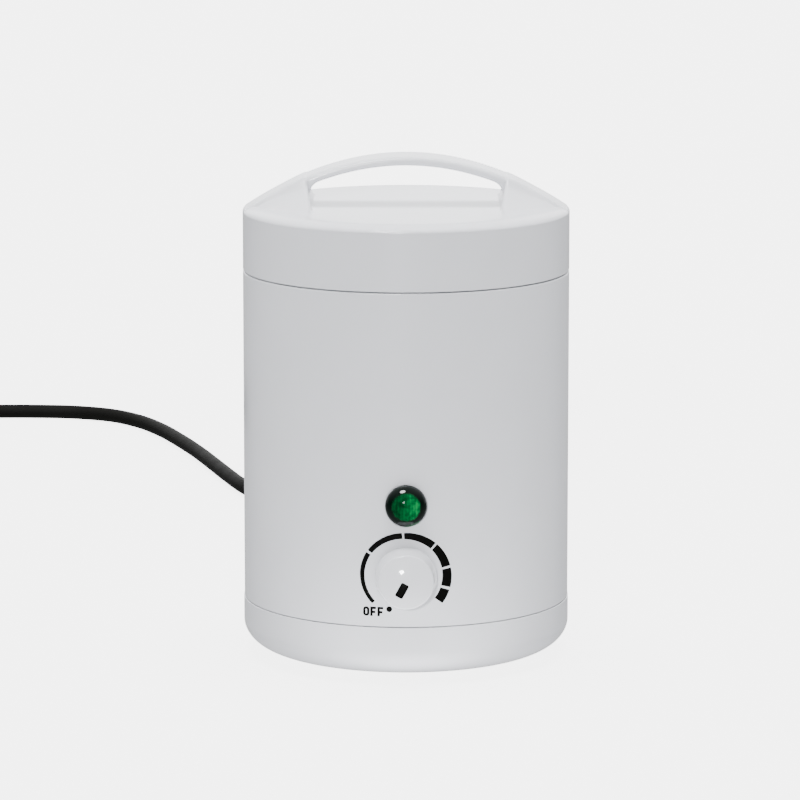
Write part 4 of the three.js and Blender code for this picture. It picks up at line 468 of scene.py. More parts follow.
def turned(name, profile, sides):
    """A closed mesh: a closed profile of (radius, height) points, turned round the Z axis."""
    angles = FULL_TURN * np.arange(sides) / sides
    points, rings = [], []
    for radius, height in profile:
        if radius < 1e-9:
            rings.append([len(points)] * sides)
            points.append((0, 0, height))
        else:
            rings.append(range(len(points), len(points) + sides))
            points += [(radius * math.cos(a), radius * math.sin(a), height) for a in angles]
    faces = []
    for this, following in zip(rings, rings[1:] + rings[:1]):
        for i in range(sides):
            j = (i + 1) % sides
            corners = list(dict.fromkeys((this[i], this[j], following[j], following[i])))
            if len(corners) > 2:
                faces.append(corners)
    return new_mesh(name, points, faces)


def profile_normals(profile, crease=40):
    """For each profile point, its smooth normals (r, z) towards the point before and after."""
    points = np.array(profile)
    following = np.roll(points, -1, 0)
    steps = following - points
    lengths = np.linalg.norm(steps, axis=1)
    area = np.sum(points[:, 0] * following[:, 1] - following[:, 0] * points[:, 1])
    sign = 1 if area > 0 else -1
    outward = sign * np.stack([steps[:, 1], -steps[:, 0]], 1)
    outward /= np.maximum(lengths, 1e-12)[:, None]
    result = []
    for i in range(len(points)):
        before, after = outward[i - 1], outward[i]
        if before @ after < math.cos(math.radians(crease)):
            result.append((before, after))
        else:
            both = before * lengths[i - 1] ** 2 + after * lengths[i] ** 2
            both = both / np.linalg.norm(both)
            result.append((both, both))
    return result


def smooth(mesh, degrees):
    """Shades a mesh smooth, apart from its edges sharper than an angle."""
    mesh.shade_smooth()
    mesh.set_sharp_from_angle(angle=math.radians(degrees))


def vectors(items, attribute):
    """A vector of each of a mesh's items, as an array."""
    found = np.zeros(len(items) * 3)
    items.foreach_get(attribute, found)
    return found.reshape(-1, 3)


def numbers(items, attribute):
    """A whole number of each of a mesh's items, as an array."""
    found = np.zeros(len(items), np.int32)
    items.foreach_get(attribute, found)
    return found


def shade_turned(mesh, profile):
    """Gives a turned mesh, also one with cuts in it, the exact normals of its profile."""
    smooth(mesh, 35)
    corner = vectors(mesh.corner_normals, "vector")
    places = vectors(mesh.vertices, "co")[numbers(mesh.loops, "vertex_index")]
    totals = numbers(mesh.polygons, "loop_total")
    face = np.repeat(vectors(mesh.polygons, "normal"), totals, 0)
    centre = np.repeat(vectors(mesh.polygons, "center"), totals, 0)

    out = centre[:, :2] / np.maximum(np.linalg.norm(centre[:, :2], axis=1), 1e-9)[:, None]
    across = np.abs(face[:, 0] * out[:, 1] - face[:, 1] * out[:, 0])
    own = np.stack([np.sum(face[:, :2] * out, 1), face[:, 2]], 1)
    radius = np.linalg.norm(places[:, :2], axis=1)
    here = np.stack([radius, places[:, 2]], 1)
    points = np.array(profile)
    nearest = np.zeros(len(corner), int)
    distance = np.full(len(corner), np.inf)
    for i, point in enumerate(points):
        away = np.hypot(here[:, 0] - point[0], here[:, 1] - point[1])
        closer = away < distance
        nearest[closer], distance[closer] = i, away[closer]
    both = np.array(profile_normals(profile))[nearest]
    fits = np.einsum("ijk,ik->ij", both, own)
    best = both[np.arange(len(corner)), fits.argmax(1)]
    usable = (distance < 0.004 * MM) & (fits.max(1) > 0.7)
    pair = np.where(usable[:, None], best, own)
    along = np.where(
        (radius > 1e-6)[:, None], places[:, :2] / np.maximum(radius, 1e-6)[:, None], out)
    exact = np.concatenate([along * pair[:, :1], pair[:, 1:]], 1)
    exact[radius < 1e-6, :2] = 0
    exact /= np.maximum(np.linalg.norm(exact, axis=1), 1e-9)[:, None]
    turned_face = across < 0.03
    normals = np.where(turned_face[:, None], exact, corner)
    mesh.normals_split_custom_set(normals.tolist())


def carry_out(piece):
    """Carries out a piece's modifiers and leaves the result as its plain mesh."""
    bpy.context.view_layer.update()
    depsgraph = bpy.context.evaluated_depsgraph_get()
    mesh = bpy.data.meshes.new_from_object(piece.evaluated_get(depsgraph))
    piece.modifiers.clear()
    piece.data = mesh


def carve(piece, cutters, operation="DIFFERENCE"):
    """Takes the cutters' solids out of a piece, or joins them to it, and removes the cutters."""
    for cutter in cutters:
        modifier = piece.modifiers.new(cutter.name, "BOOLEAN")
        modifier.operation = operation
        modifier.solver = "EXACT"
        modifier.object = cutter
    carry_out(piece)
    for cutter in cutters:
        bpy.data.objects.remove(cutter)


def joined(name, meshes):
    """One mesh object that holds several meshes."""
    work = bmesh.new()
    for mesh in meshes:
        work.from_mesh(mesh)
    result = bpy.data.meshes.new(name)
    work.to_mesh(result)
    work.free()
    return new_object(name, result)


def cylinder(name, radius, bottom, top, sides=48):
    """A mesh of an upright cylinder on the Z axis."""
    return turned(name, [(0, bottom), (radius, bottom), (radius, top), (0, top)], sides)


def prism(name, outline, bottom, top):
    """A mesh of a flat outline of (x, y) points between two heights."""
    count = len(outline)
    points = [(x, y, z) for z in (bottom, top) for x, y in outline]
    sides = [(i, (i + 1) % count, count + (i + 1) % count, count + i) for i in range(count)]
    return new_mesh(name, points, [range(count), range(count, 2 * count), *sides])


def round_rectangle(width, height, corner, steps=6):
    """Points of a rectangle with round corners round the origin."""
    x, y = width / 2 - corner, height / 2 - corner
    places = [(x, y, 0), (-x, y, 90), (-x, -y, 180), (x, -y, 270)]
    return [p for cx, cy, start in places
            for p in arc(cx, cy, corner, corner, start, start + 90, steps)]


def facing(height, direction=1):
    """The turn that points +Z out of the front wall, or of the back wall for -1."""
    return Matrix.Translation((0, 0, height)) @ Matrix.Rotation(direction * math.pi / 2, 4, "X")


def moved(mesh, matrix):
    """A mesh after a move."""
    mesh.transform(matrix)
    return mesh


def dress(piece, slot, *nodes, body="body"):
    """Lets a finished piece stand for its nodes on a body."""
    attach(piece, body)
    if nodes:
        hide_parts(*nodes)
    return piece


# Geometry Nodes: a tree that sets copies of a piece on a ring, and one that cuts a row of slots


def tree_with_inputs(name, inputs):
    """A node tree with named inputs and a geometry output, and its two end nodes."""
    tree = bpy.data.node_groups.new(name, "GeometryNodeTree")
    for label, kind in inputs:
        tree.interface.new_socket(label, in_out="INPUT", socket_type=kind)
    tree.interface.new_socket("Geometry", in_out="OUTPUT", socket_type="NodeSocketGeometry")
    start = tree.nodes.new("NodeGroupInput")
    end = tree.nodes.new("NodeGroupOutput")
    return tree, start.outputs, end.inputs["Geometry"]


def finish_tree(tree, geometry, material, end):
    """Ends a tree in Realize Instances and Set Material."""
    real = node(tree, "GeometryNodeRealizeInstances", {"Geometry": geometry})
    painted = node(tree, "GeometryNodeSetMaterial", {
        "Geometry": real.outputs["Geometry"], "Material": material})
    tree.links.new(painted.outputs["Geometry"], end)


def ring_tree():
    """Copies of one piece, set on a ring round the Z axis, each turned a little by chance."""
    tree, given, end = tree_with_inputs("ring_of_pieces", [
        ("Piece", "NodeSocketObject"), ("Count", "NodeSocketInt"),
        ("Circle", "NodeSocketFloat"), ("Start", "NodeSocketFloat"),
        ("Height", "NodeSocketFloat"), ("Turn", "NodeSocketFloat"),
        ("Material", "NodeSocketMaterial")])
    circle = node(tree, "GeometryNodeMeshCircle", {
        "Vertices": given["Count"], "Radius": given["Circle"]})
    lift = node(tree, "ShaderNodeCombineXYZ", {"Z": given["Height"]})
    spin = node(tree, "ShaderNodeCombineXYZ", {"Z": given["Start"]})
    placed = node(tree, "GeometryNodeTransform", {
        "Geometry": circle.outputs["Mesh"], "Translation": lift.outputs["Vector"],
        "Rotation": spin.outputs["Vector"]})
    chance = node(tree, "FunctionNodeRandomValue", {3: given["Turn"], "Seed": 7})
    turn = node(tree, "ShaderNodeCombineXYZ", {"Z": chance.outputs[1]})
    piece = node(tree, "GeometryNodeObjectInfo", {"Object": given["Piece"]})
    copies = node(tree, "GeometryNodeInstanceOnPoints", {
        "Points": placed.outputs["Geometry"], "Instance": piece.outputs["Geometry"],
        "Rotation": turn.outputs["Vector"]})
    finish_tree(tree, copies.outputs["Instances"], given["Material"], end)
    return tree


def slot_tree():
    """A row of slots along Y, cut through a piece."""
    tree, given, end = tree_with_inputs("row_of_slots", [
        ("Geometry", "NodeSocketGeometry"), ("Slot", "NodeSocketObject"),
        ("Count", "NodeSocketInt"), ("Pitch", "NodeSocketFloat"),
        ("First", "NodeSocketFloat"), ("Material", "NodeSocketMaterial")])
    start = node(tree, "ShaderNodeCombineXYZ", {"Y": given["First"]})
    step = node(tree, "ShaderNodeCombineXYZ", {"Y": given["Pitch"]})
    row = node(tree, "GeometryNodeMeshLine", {
        "Count": given["Count"], "Start Location": start.outputs["Vector"],
        "Offset": step.outputs["Vector"]})
    slot = node(tree, "GeometryNodeObjectInfo", {"Object": given["Slot"]})
    copies = node(tree, "GeometryNodeInstanceOnPoints", {
        "Points": row.outputs["Mesh"], "Instance": slot.outputs["Geometry"]})
    cut = node(tree, "GeometryNodeMeshBoolean", {
        "Mesh 1": given["Geometry"], "Mesh 2": copies.outputs["Instances"]},
        operation="DIFFERENCE", solver="EXACT")
    finish_tree(tree, cut.outputs["Mesh"], given["Material"], end)
    return tree


def run_tree(piece, tree, values):
    """Carries out a tree on a piece and leaves the result as its plain mesh."""
    modifier = piece.modifiers.new(tree.name, "NODES")
    modifier.node_group = tree
    keys = {item.name: item.identifier for item in tree.interface.items_tree
            if item.item_type == "SOCKET" and item.in_out == "INPUT"}
    for label, value in values.items():
        modifier[keys[label]] = value
    carry_out(piece)
    bpy.data.node_groups.remove(tree)
    return piece


def set_on_ring(name, template, count, circle, start, height, turn, material):
    """A piece that holds copies of a template on a ring; the template goes."""
    piece = run_tree(new_object(name, bpy.data.meshes.new(name)), ring_tree(), {
        "Piece": template, "Count": count, "Circle": circle, "Start": start,
        "Height": height, "Turn": turn, "Material": material})
    bpy.data.objects.remove(template)
    return piece


# Camera, floor and lights


# Each far lamp's apparent size, how far it stands to the right of the front and over the
# level, in degrees, and the kind of ray that it stays out of
FAR_LAMPS = {
    "overhead": (36, 0, 90, "glossy"), "key": (3, -9, 15, "glossy"),
    "glint": (6, -6, 4, "diffuse"), "spark": (18, -17, 47, "diffuse")}
SENSOR_WIDTH = 36
FLOOR_HALF = 12
GLOW_WIDTH = 140 * MM
GLOW_DEPTH = 70 * MM
SKY_COLOUR = (0.975, 0.985, 1, 1)


def far_lamp(name, strength, size, turn, lift, unseen):
    """A light from far away."""
    light = bpy.data.lights.new(name, "SUN")
    light.energy = strength
    light.angle = math.radians(size)
    turn, lift = math.radians(turn), math.radians(lift)
    lamp = bpy.data.objects.new(name, light)
    bpy.context.scene.collection.objects.link(lamp)
    source = Vector((
        math.sin(turn) * math.cos(lift), -math.cos(turn) * math.cos(lift), math.sin(lift)))
    lamp.rotation_euler = source.to_track_quat("Z", "Y").to_euler()
    setattr(lamp, "visible_" + unseen, False)


def table_glow(strength):
    """A low light from the table just before the heater."""
    light = bpy.data.lights.new("table_glow", "AREA")
    light.shape = "RECTANGLE"
    light.size, light.size_y = GLOW_WIDTH, GLOW_DEPTH
    light.energy = strength
    lamp = bpy.data.objects.new("table_glow", light)
    bpy.context.scene.collection.objects.link(lamp)
    lamp.location = (0, -BODY_RADIUS - GLOW_DEPTH / 2, MM)
    lamp.rotation_euler = (math.pi, 0, 0)
    lamp.visible_camera = False
    lamp.visible_glossy = False


class HEATER_OT_stage(Operator):
    """Make the camera, the pale floor and the soft lights"""
    bl_idname = "heater.stage"
    bl_label = "Stage"

    def sky(self, studio):
        """Soft light, stronger from the front, the left and below, and a backdrop behind."""
        world = bpy.data.worlds.new("studio")
        world.use_nodes = True
        tree = world.node_tree
        parts = node(tree, "ShaderNodeSeparateXYZ", {
            "Vector": tree.nodes.new("ShaderNodeTexCoord").outputs["Generated"]})

        def towards(axis, start, end, first, last, shape="LINEAR"):
            return ramp(tree, parts.outputs[axis], start, end, first, last, shape)

        front = towards("Y", 1, -1, studio.sky * (1 - studio.sky_slope),
                        studio.sky * (1 + studio.sky_slope))
        left = towards("X", 1, -1, 1 - studio.sky_lean, 1 + studio.sky_lean)
        below = towards("Z", 0, -1, 1, 1 + studio.from_below)
        behind = towards("Y", 0.75, 1, 0, studio.backdrop, "SMOOTHSTEP")
        strength = combine(tree, "MULTIPLY", combine(tree, "MULTIPLY", front, left), below)
        strength = combine(tree, "ADD", strength, behind)
        back = combine(
            tree, "MINIMUM", towards("Y", -0.3, 0.1, studio.mirrored, 1),
            towards("Z", -0.05, 0.08, studio.mirrored, 1))
        kept = combine(tree, "MAXIMUM", towards("Z", 0.1, 0.7, studio.mirrored, 1), back)
        path = tree.nodes.new("ShaderNodeLightPath")
        mirrored = node(tree, "ShaderNodeMix", {0: path.outputs["Is Glossy Ray"], 2: 1, 3: kept})
        strength = combine(tree, "MULTIPLY", strength, mirrored.outputs[0])
        background = tree.nodes["Background"]
        tree.links.new(strength, background.inputs["Strength"])
        background.inputs["Color"].default_value = SKY_COLOUR
        return world

    def execute(self, context):
        studio = context.scene.heater_studio
        camera_data = bpy.data.cameras.new("camera")
        camera_data.sensor_width = SENSOR_WIDTH
        camera_data.lens = studio.lens
        camera = bpy.data.objects.new("camera", camera_data)
        context.scene.collection.objects.link(camera)
        camera.location = (0, -studio.camera_distance, studio.camera_height)
        camera.rotation_euler = (math.pi / 2 - studio.camera_pitch, 0, studio.camera_yaw)
        context.scene.camera = camera

        corners = [(x * FLOOR_HALF, y * FLOOR_HALF, 0)
                   for x, y in ((-1, -1), (1, -1), (1, 1), (-1, 1))]
        glass = surface(
            "floor_glass", colours().floor, 0.9, (2 * MM, 0.01 * MM), 0.004,
            Emission_Color=(1, 1, 1, 1), Emission_Strength=studio.floor_light)
        floor = new_object("floor", new_mesh("floor", corners, [(0, 1, 2, 3)]), glass)
        floor.visible_diffuse = False
        floor.visible_glossy = False
        context.scene.world = self.sky(studio)
        for name, values in FAR_LAMPS.items():
            far_lamp(name, getattr(studio, name), *values)
        table_glow(studio.table_glow)
        return {"FINISHED"}


# Mains lead: the route that its solids take, then a coil with a tie, and a plug

COIL_CENTRE = Vector((-247 * MM, 436 * MM, 0))
COIL_RADIUS = 42 * MM
COIL_PITCH = 7 * MM
COIL_RISE = 6.9 * MM
COIL_TURNS = 4.25
COIL_CLIMB_TURNS = 0.5
COIL_LIFT = 0.8 * MM
COIL_STEPS = 340
LEAD_ROUTE = [(x * MM, y * MM, z * MM) for x, y, z in [
    (0, 86, 32.8), (0, 99, 29.6), (0, 112, 22.6), (0, 125, 13.6), (-0.3, 139, 6.6),
    (-2, 154, 3.6), (-7, 172, 3.2), (-16, 191, 3.2), (-27, 210, 3.2), (-39, 230, 3.2),
    (-50, 251, 3.2), (-61, 274, 3.2), (-70.9, 298, 3.2), (-77.9, 321, 3.2), (-85.2, 347, 3.2),
    (-93.2, 375, 3.2), (-103, 405, 3.2), (-113.5, 433, 3.2), (-125, 455, 3.2),
    (-139, 470.5, 3.2), (-157, 478.6, 3.2), (-178, 481, 3.2), (-200, 480.4, 3.3),
    (-220, 479.1, 3.7)]]


def through(points, steps=8):
    """Close points of a smooth curve through the given ones, evenly paced by their spacing."""
    given = np.array([tuple(point) for point in points])
    given = np.vstack([2 * given[0] - given[1], given, 2 * given[-1] - given[-2]])
    found = []
    for a, b, c, d in zip(given, given[1:], given[2:], given[3:]):
        t0, t1 = 0, math.sqrt(np.linalg.norm(b - a))
        t2 = t1 + math.sqrt(np.linalg.norm(c - b))
        t3 = t2 + math.sqrt(np.linalg.norm(d - c))
        for t in np.linspace(t1, t2, steps, endpoint=False):
            ab = a + (b - a) * (t - t0) / (t1 - t0)
            bc = b + (c - b) * (t - t1) / (t2 - t1)
            cd = c + (d - c) * (t - t2) / (t3 - t2)
            abc = ab + (bc - ab) * (t - t0) / (t2 - t0)
            bcd = bc + (cd - bc) * (t - t1) / (t3 - t1)
            found.append(abc + (bcd - abc) * (t - t1) / (t2 - t1))
    return [Vector(point) for point in [*found, given[-2]]]


def coil_point(turns):
    """A point of the coil: it spirals in below, climbs half-way and spirals out above."""
    radius = COIL_RADIUS - COIL_PITCH * min(turns, COIL_TURNS - turns)
    climb = (turns - (COIL_TURNS - COIL_CLIMB_TURNS) / 2) / COIL_CLIMB_TURNS
    climb = min(max(climb, 0), 1)
    height = sizes().lead / 2 + COIL_LIFT + COIL_RISE * climb * climb * (3 - 2 * climb)
    angle = math.pi / 2 + FULL_TURN * turns
    return COIL_CENTRE + Vector((radius * math.cos(angle), radius * math.sin(angle), height))


def coil_end(last, distance):
    """A point on the straight line that leads out of the coil's first or last turn."""
    edge = coil_point(COIL_TURNS if last else 0)
    inside = coil_point(COIL_TURNS - 1e-4 if last else 1e-4)
    return edge + (edge - inside).normalized() * distance


def lead_path():
    """The whole centreline of the lead, from the strain relief to the plug's tail."""
    radius = sizes().lead / 2
    exit_point = Vector((0, RELIEF_TIP, OUTLET.z))
    plug_tail = high("plug_body").y
    tail_x = middle("plug_body").x
    tail_z = middle("plug_body").z
    free = through([
        exit_point, exit_point + Vector((0, radius, 0)), *LEAD_ROUTE,
        coil_end(False, 6 * radius), coil_end(False, 2 * radius)])
    coil = [coil_point(COIL_TURNS * i / COIL_STEPS) for i in range(COIL_STEPS + 1)]
    start = coil_end(True, 2 * radius)
    slope = (coil[-1].y + plug_tail) / 2 + 6 * MM
    end = through([
        start, coil_end(True, 5 * radius),
        Vector((tail_x, slope, (start.z + tail_z) / 2)),
        Vector((tail_x, plug_tail + 2 * radius, tail_z)),
        Vector((tail_x, plug_tail - MM, tail_z))])
    return free + coil + end


class HEATER_OT_mains_lead(Operator):
    """Lay the free mains lead on its route and in its coil"""
    bl_idname = "heater.mains_lead"
    bl_label = "Mains lead"

    def execute(self, context):
        path = lead_path()
        curve = bpy.data.curves.new("mains_lead", "CURVE")
        curve.dimensions = "3D"
        curve.bevel_depth = sizes().lead / 2
        curve.bevel_resolution = 6
        curve.use_fill_caps = True
        spline = curve.splines.new("POLY")
        spline.points.add(len(path) - 1)
        for point, place in zip(spline.points, path):
            point.co = (*place, 1)
        spline.use_smooth = True
        curve.materials.append(finish("lead_sheath"))
        lead = bpy.data.objects.new("mains_lead", curve)
        context.scene.collection.objects.link(lead)
        dress(lead, "cord_black", "cord_free", "cord_coil", "cord_end")
        return {"FINISHED"}


def make_tie():
    """The flat tie round the coil's turns."""
    tie = soft_copy("tie", "cord_tie", 0.15 * MM, finish("black_rubber"))
    return dress(tie, "rubber_black", "cord_tie")


def soft_copy(name, source, edge, material):
    """A copy of a node's solid with its doubles merged and its sharp edges rounded."""
    work = bmesh.new()
    work.from_mesh(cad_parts[source].data)
    bmesh.ops.remove_doubles(work, verts=work.verts, dist=0.01 * MM)
    bmesh.ops.dissolve_limit(
        work, angle_limit=math.radians(1), verts=work.verts, edges=work.edges)
    mesh = bpy.data.meshes.new(name)
    work.to_mesh(mesh)
    work.free()
    mesh.shade_smooth()
    piece = new_object(name, mesh, material)
    bevel = piece.modifiers.new("edges", "BEVEL")
    bevel.width = edge
    bevel.segments = 3
    bevel.limit_method = "ANGLE"
    bevel.angle_limit = math.radians(50)
    bevel.harden_normals = True
    carry_out(piece)
    return piece


class HEATER_OT_plug(Operator):
    bl_idname = "heater.plug"
    bl_label = "Tie and plug"

    def execute(self, context):
        tie = make_tie()
        body = soft_copy("plug", "plug_body", 0.5 * MM, finish("black_rubber"))
        dress(body, "rubber_black", "plug_body")
        for number in (1, 2):
            source = f"plug_pin_{number}"
            pin = soft_copy(f"pin_{number}", source, 0.3 * MM, finish("brass"))
            dress(pin, "brass", source)
        return {"FINISHED"}


# Casing and base: their pillars, posts, bosses and holes have the sizes of the frame's solids

BUSHING_HOLE = 5.1 * MM
NUT_SEAT = 7.2 * MM
LAMP_HOLE = 6.2 * MM
LAMP_SEAT = 7.9 * MM
OUTLET_HOLE = 5.3 * MM
SCREW_BORE = 1.75 * MM
SMALL_BORE = 1.3 * MM
SCREWS_START = math.radians(45)
WELL_SCREWS_START = math.radians(30)
PILLAR_RADIUS = 4 * MM
PILLAR_HEIGHT = 38 * MM
PILOT_DEPTH = 13 * MM
WELL_BOSS_RADIUS = 3.2 * MM
WELL_BOSS_LENGTH = 7 * MM
SHELF_WIDTH = 26 * MM
SHELF_REACH = 15.5 * MM
SHELF_THICKNESS = 5 * MM
CLAMP_POST_RADIUS = 3.6 * MM
POST_RADIUS = 5 * MM
POST_HEIGHT = 9 * MM
POST_WEB = 2 * MM
POCKET_RADIUS = 3.8 * MM
FOOT_HOLE = 2.3 * MM
BLOCK_BOSS_RADIUS = 4 * MM
VENT_LENGTH = 36 * MM
VENT_WIDTH = 2.6 * MM
VENT_PITCH = 5.5 * MM
VENT_COUNT = 5
VENTS_MIDDLE_Y = -13 * MM


def casing_profile():
    """The casing's outline, with the rebate and the ledge that carry the well's flange."""
    inside = CASING_INSIDE
    edge = CASING_EDGE
    ledge_top = CASING_TOP - REBATE_DEPTH
    ledge_under = ledge_top - LEDGE_THICKNESS
    return [
        *arc(BODY_RADIUS - edge, CASING_TOP - edge, edge, edge, 0, 90, 5),
        *arc(inside + edge / 2, CASING_TOP - edge / 2, edge / 2, edge / 2, 90, 180, 3),
        (inside, ledge_top), (inside - LEDGE_WIDTH, ledge_top),
        (inside - LEDGE_WIDTH, ledge_under), (inside, ledge_under - LEDGE_SLOPE),
        (inside, CASING_BOTTOM),
        *arc(BODY_RADIUS - edge / 2, CASING_BOTTOM + edge / 2, edge / 2, edge / 2, -90, 0, 3),
    ]


class HEATER_OT_casing(Operator):
    """Turn the casing and cut its seats for the lamp, the knob and the lead"""
    bl_idname = "heater.casing"
    bl_label = "Casing"

    def execute(self, context):
        profile = casing_profile()
        casing = new_object("casing_shell", turned("casing_shell", profile, sizes().sides))
        inside = CASING_INSIDE - CASING_WALL
        beyond = BODY_RADIUS + MM
        holes = [
            (facing(DIAL.z), BUSHING_HOLE, NUT_SEAT), (facing(LAMP.z), LAMP_HOLE, LAMP_SEAT),
            (facing(OUTLET.z, -1), OUTLET_HOLE, None)]
        cutters = []
        for matrix, radius, seat in holes:
            cutters.append(moved(cylinder("hole", radius, inside, beyond), matrix))
            if seat:
                cutters.append(moved(cylinder("seat", seat, SPOT_FACE, beyond), matrix))
        pillars = set_on_ring(
            "pillars", new_object("pillar", pillar_mesh()), 4, SCREW_CIRCLE, SCREWS_START, 0, 0,
            finish("white_plastic"))
        for cutter in cutters:
            carve(casing, [new_object("cutter", cutter)])
        casing = joined_pieces("casing_shell", [casing, pillars, well_bosses(), *clamp_shelf()])
        shade_turned(casing.data, profile)
        paint(casing.data, finish("white_plastic"))
        dress(casing, "housing_white", "casing")
        return {"FINISHED"}


def pillar_mesh():
    """A screw pillar of the casing with its pilot hole."""
    bottom = low("casing").z
    top = bottom + PILLAR_HEIGHT
    pilot_end = bottom + PILOT_DEPTH
    return turned("pillar", [
        (SCREW_BORE, bottom), (PILLAR_RADIUS, bottom), (PILLAR_RADIUS, top), (0, top),
        (0, pilot_end), (SCREW_BORE, pilot_end)], 32)


def boss_mesh(radius, bottom, top):
    """A round boss with its pilot hole."""
    return turned("boss", [
        (SMALL_BORE, bottom), (radius, bottom), (radius, top), (SMALL_BORE, top)], 32)


def well_bosses():
    """The bosses under the ledge for the well's screws."""
    top = CASING_TOP - REBATE_DEPTH - LEDGE_THICKNESS
    boss = boss_mesh(WELL_BOSS_RADIUS, top - WELL_BOSS_LENGTH, top)
    return set_on_ring(
        "bosses", new_object("boss", boss), 3, WELL_SCREW_CIRCLE, WELL_SCREWS_START, 0, 0,
        finish("white_plastic"))


def clamp_shelf():
    """The shelf over the lead with its two posts for the clamp's screws."""
    half = SHELF_WIDTH / 2
    under = OUTLET.z + sizes().lead / 2 + GAP
    front = CASING_INSIDE - SHELF_REACH
    side = math.degrees(math.asin(half / CASING_INSIDE))
    back = arc(0, 0, CASING_INSIDE, CASING_INSIDE, 90 - side, 90 + side, 16)
    shelf = new_object("shelf", prism(
        "shelf", [(-half, front), (half, front), *back], under, under + SHELF_THICKNESS))
    relief = high("strain_relief").x + GAP
    pocket = cylinder("pocket", relief, low("strain_relief").y - GAP, BODY_RADIUS)
    carve(shelf, [new_object("pocket", moved(pocket, facing(OUTLET.z, -1)))])
    posts = []
    for number in (1, 2):
        place = middle(f"cord_clamp_screw_{number}")
        post = boss_mesh(CLAMP_POST_RADIUS, high("cord_clamp").z + GAP, under)
        post.transform(Matrix.Translation((place.x, place.y, 0)))
        posts.append(new_object("post", post))
    return [shelf, *posts]


def joined_pieces(name, pieces):
    """One object that holds the meshes of several."""
    whole = joined(name, [piece.data for piece in pieces])
    for piece in pieces:
        bpy.data.objects.remove(piece)
    whole.name = name
    return whole


def base_profile():
    """The base's outline: a flat dish with a wide round below and a tongue above."""
    flat = BASE_RADIUS - BASE_ROUND_WIDTH
    round_top = BASE_BOTTOM + BASE_ROUND_HEIGHT
    inside = BASE_RADIUS - BASE_WALL
    tongue = CASING_INSIDE - GAP
    tongue_inside = tongue - TONGUE_THICKNESS
    edge = CASING_EDGE / 2
    return [
        (0, BASE_BOTTOM),
        *arc(flat, round_top, BASE_ROUND_WIDTH, BASE_ROUND_HEIGHT, -90, 0, 28),
        *arc(BASE_RADIUS - edge, BASE_TOP - edge, edge, edge, 0, 90, 3),
        (tongue, BASE_TOP), (tongue, BASE_TOP + TONGUE_HEIGHT),
        (tongue_inside, BASE_TOP + TONGUE_HEIGHT), (tongue_inside, BASE_TOP - TONGUE_HEIGHT),
        (inside, BASE_TOP - TONGUE_HEIGHT - TONGUE_THICKNESS),
        *arc(flat, round_top, inside - flat, BASE_ROUND_HEIGHT - BASE_WALL, 0, -90, 12),
        (0, BASE_BOTTOM + BASE_WALL),
    ]


class HEATER_OT_base(Operator):
    """Turn the base, set its screw posts and cut its pockets and vents"""
    bl_idname = "heater.base"
    bl_label = "Base"

    def execute(self, context):
        profile = base_profile()
        base = new_object("base_shell", turned("base_shell", profile, sizes().sides))
        floor = BASE_BOTTOM + BASE_WALL
        below = BASE_BOTTOM - MM
        post_top = floor + POST_HEIGHT
        posts = set_on_ring(
            "posts", new_object("post", cylinder("post", POST_RADIUS, floor - MM, post_top)),
            4, SCREW_CIRCLE, SCREWS_START, 0, 0, finish("white_plastic"))
        boss = cylinder(
            "boss", BLOCK_BOSS_RADIUS, floor - MM, low("terminal_block").z - GAP, 32)
        block = middle("block_screw")
        boss.transform(Matrix.Translation((block.x, block.y, 0)))
        carve(base, [posts, new_object("boss", boss)], "UNION")
        web = post_top - POST_WEB
        pocket = turned("pocket", [
            (0, below), (POCKET_RADIUS, below), (POCKET_RADIUS, web), (SCREW_BORE, web),
            (SCREW_BORE, post_top + MM), (0, post_top + MM)], 48)
        carve(base, [set_on_ring(
            "pockets", new_object("pocket", pocket), 4, SCREW_CIRCLE, SCREWS_START, 0, 0,
            finish("white_plastic"))])
        hole = cylinder("hole", FOOT_HOLE, below, floor + MM, 24)
        carve(base, [set_on_ring(
            "foot_holes", new_object("hole", hole), 4, FOOT_CIRCLE, 0, 0, 0,
            finish("white_plastic"))])
        outline = round_rectangle(VENT_LENGTH, VENT_WIDTH, VENT_WIDTH / 2, 8)
        slot = new_object("slot", prism("slot", outline, below, floor + MM))
        run_tree(base, slot_tree(), {
            "Slot": slot, "Count": VENT_COUNT, "Pitch": VENT_PITCH,
            "First": VENTS_MIDDLE_Y - VENT_PITCH * (VENT_COUNT - 1) / 2,
            "Material": finish("white_plastic")})
        bpy.data.objects.remove(slot)
        shade_turned(base.data, profile)
        dress(base, "housing_white", "base_cover")
        return {"FINISHED"}


# Feet and screws, set on their rings by Geometry Nodes

# Each screw's shank radius, length under its head, head radius and height, and the half
# width of its cross
BASE_SCREW = (1.45 * MM, 13 * MM, 3.1 * MM, 2.2 * MM, 1.7 * MM)
WELL_SCREW = (1.2 * MM, 7 * MM, 2.4 * MM, 1.6 * MM, 1.35 * MM)
SCREW_TURN = 1.5
FOOT_RADIUS = 6 * MM
FOOT_EDGE = 0.8 * MM
FOOT_DIMPLE = (2.6 * MM, 3 * MM, 0.25 * MM)
FOOT_NECK = 2 * MM
BARB_RADIUS = 2.7 * MM
BARB_HEIGHT = 2.6 * MM


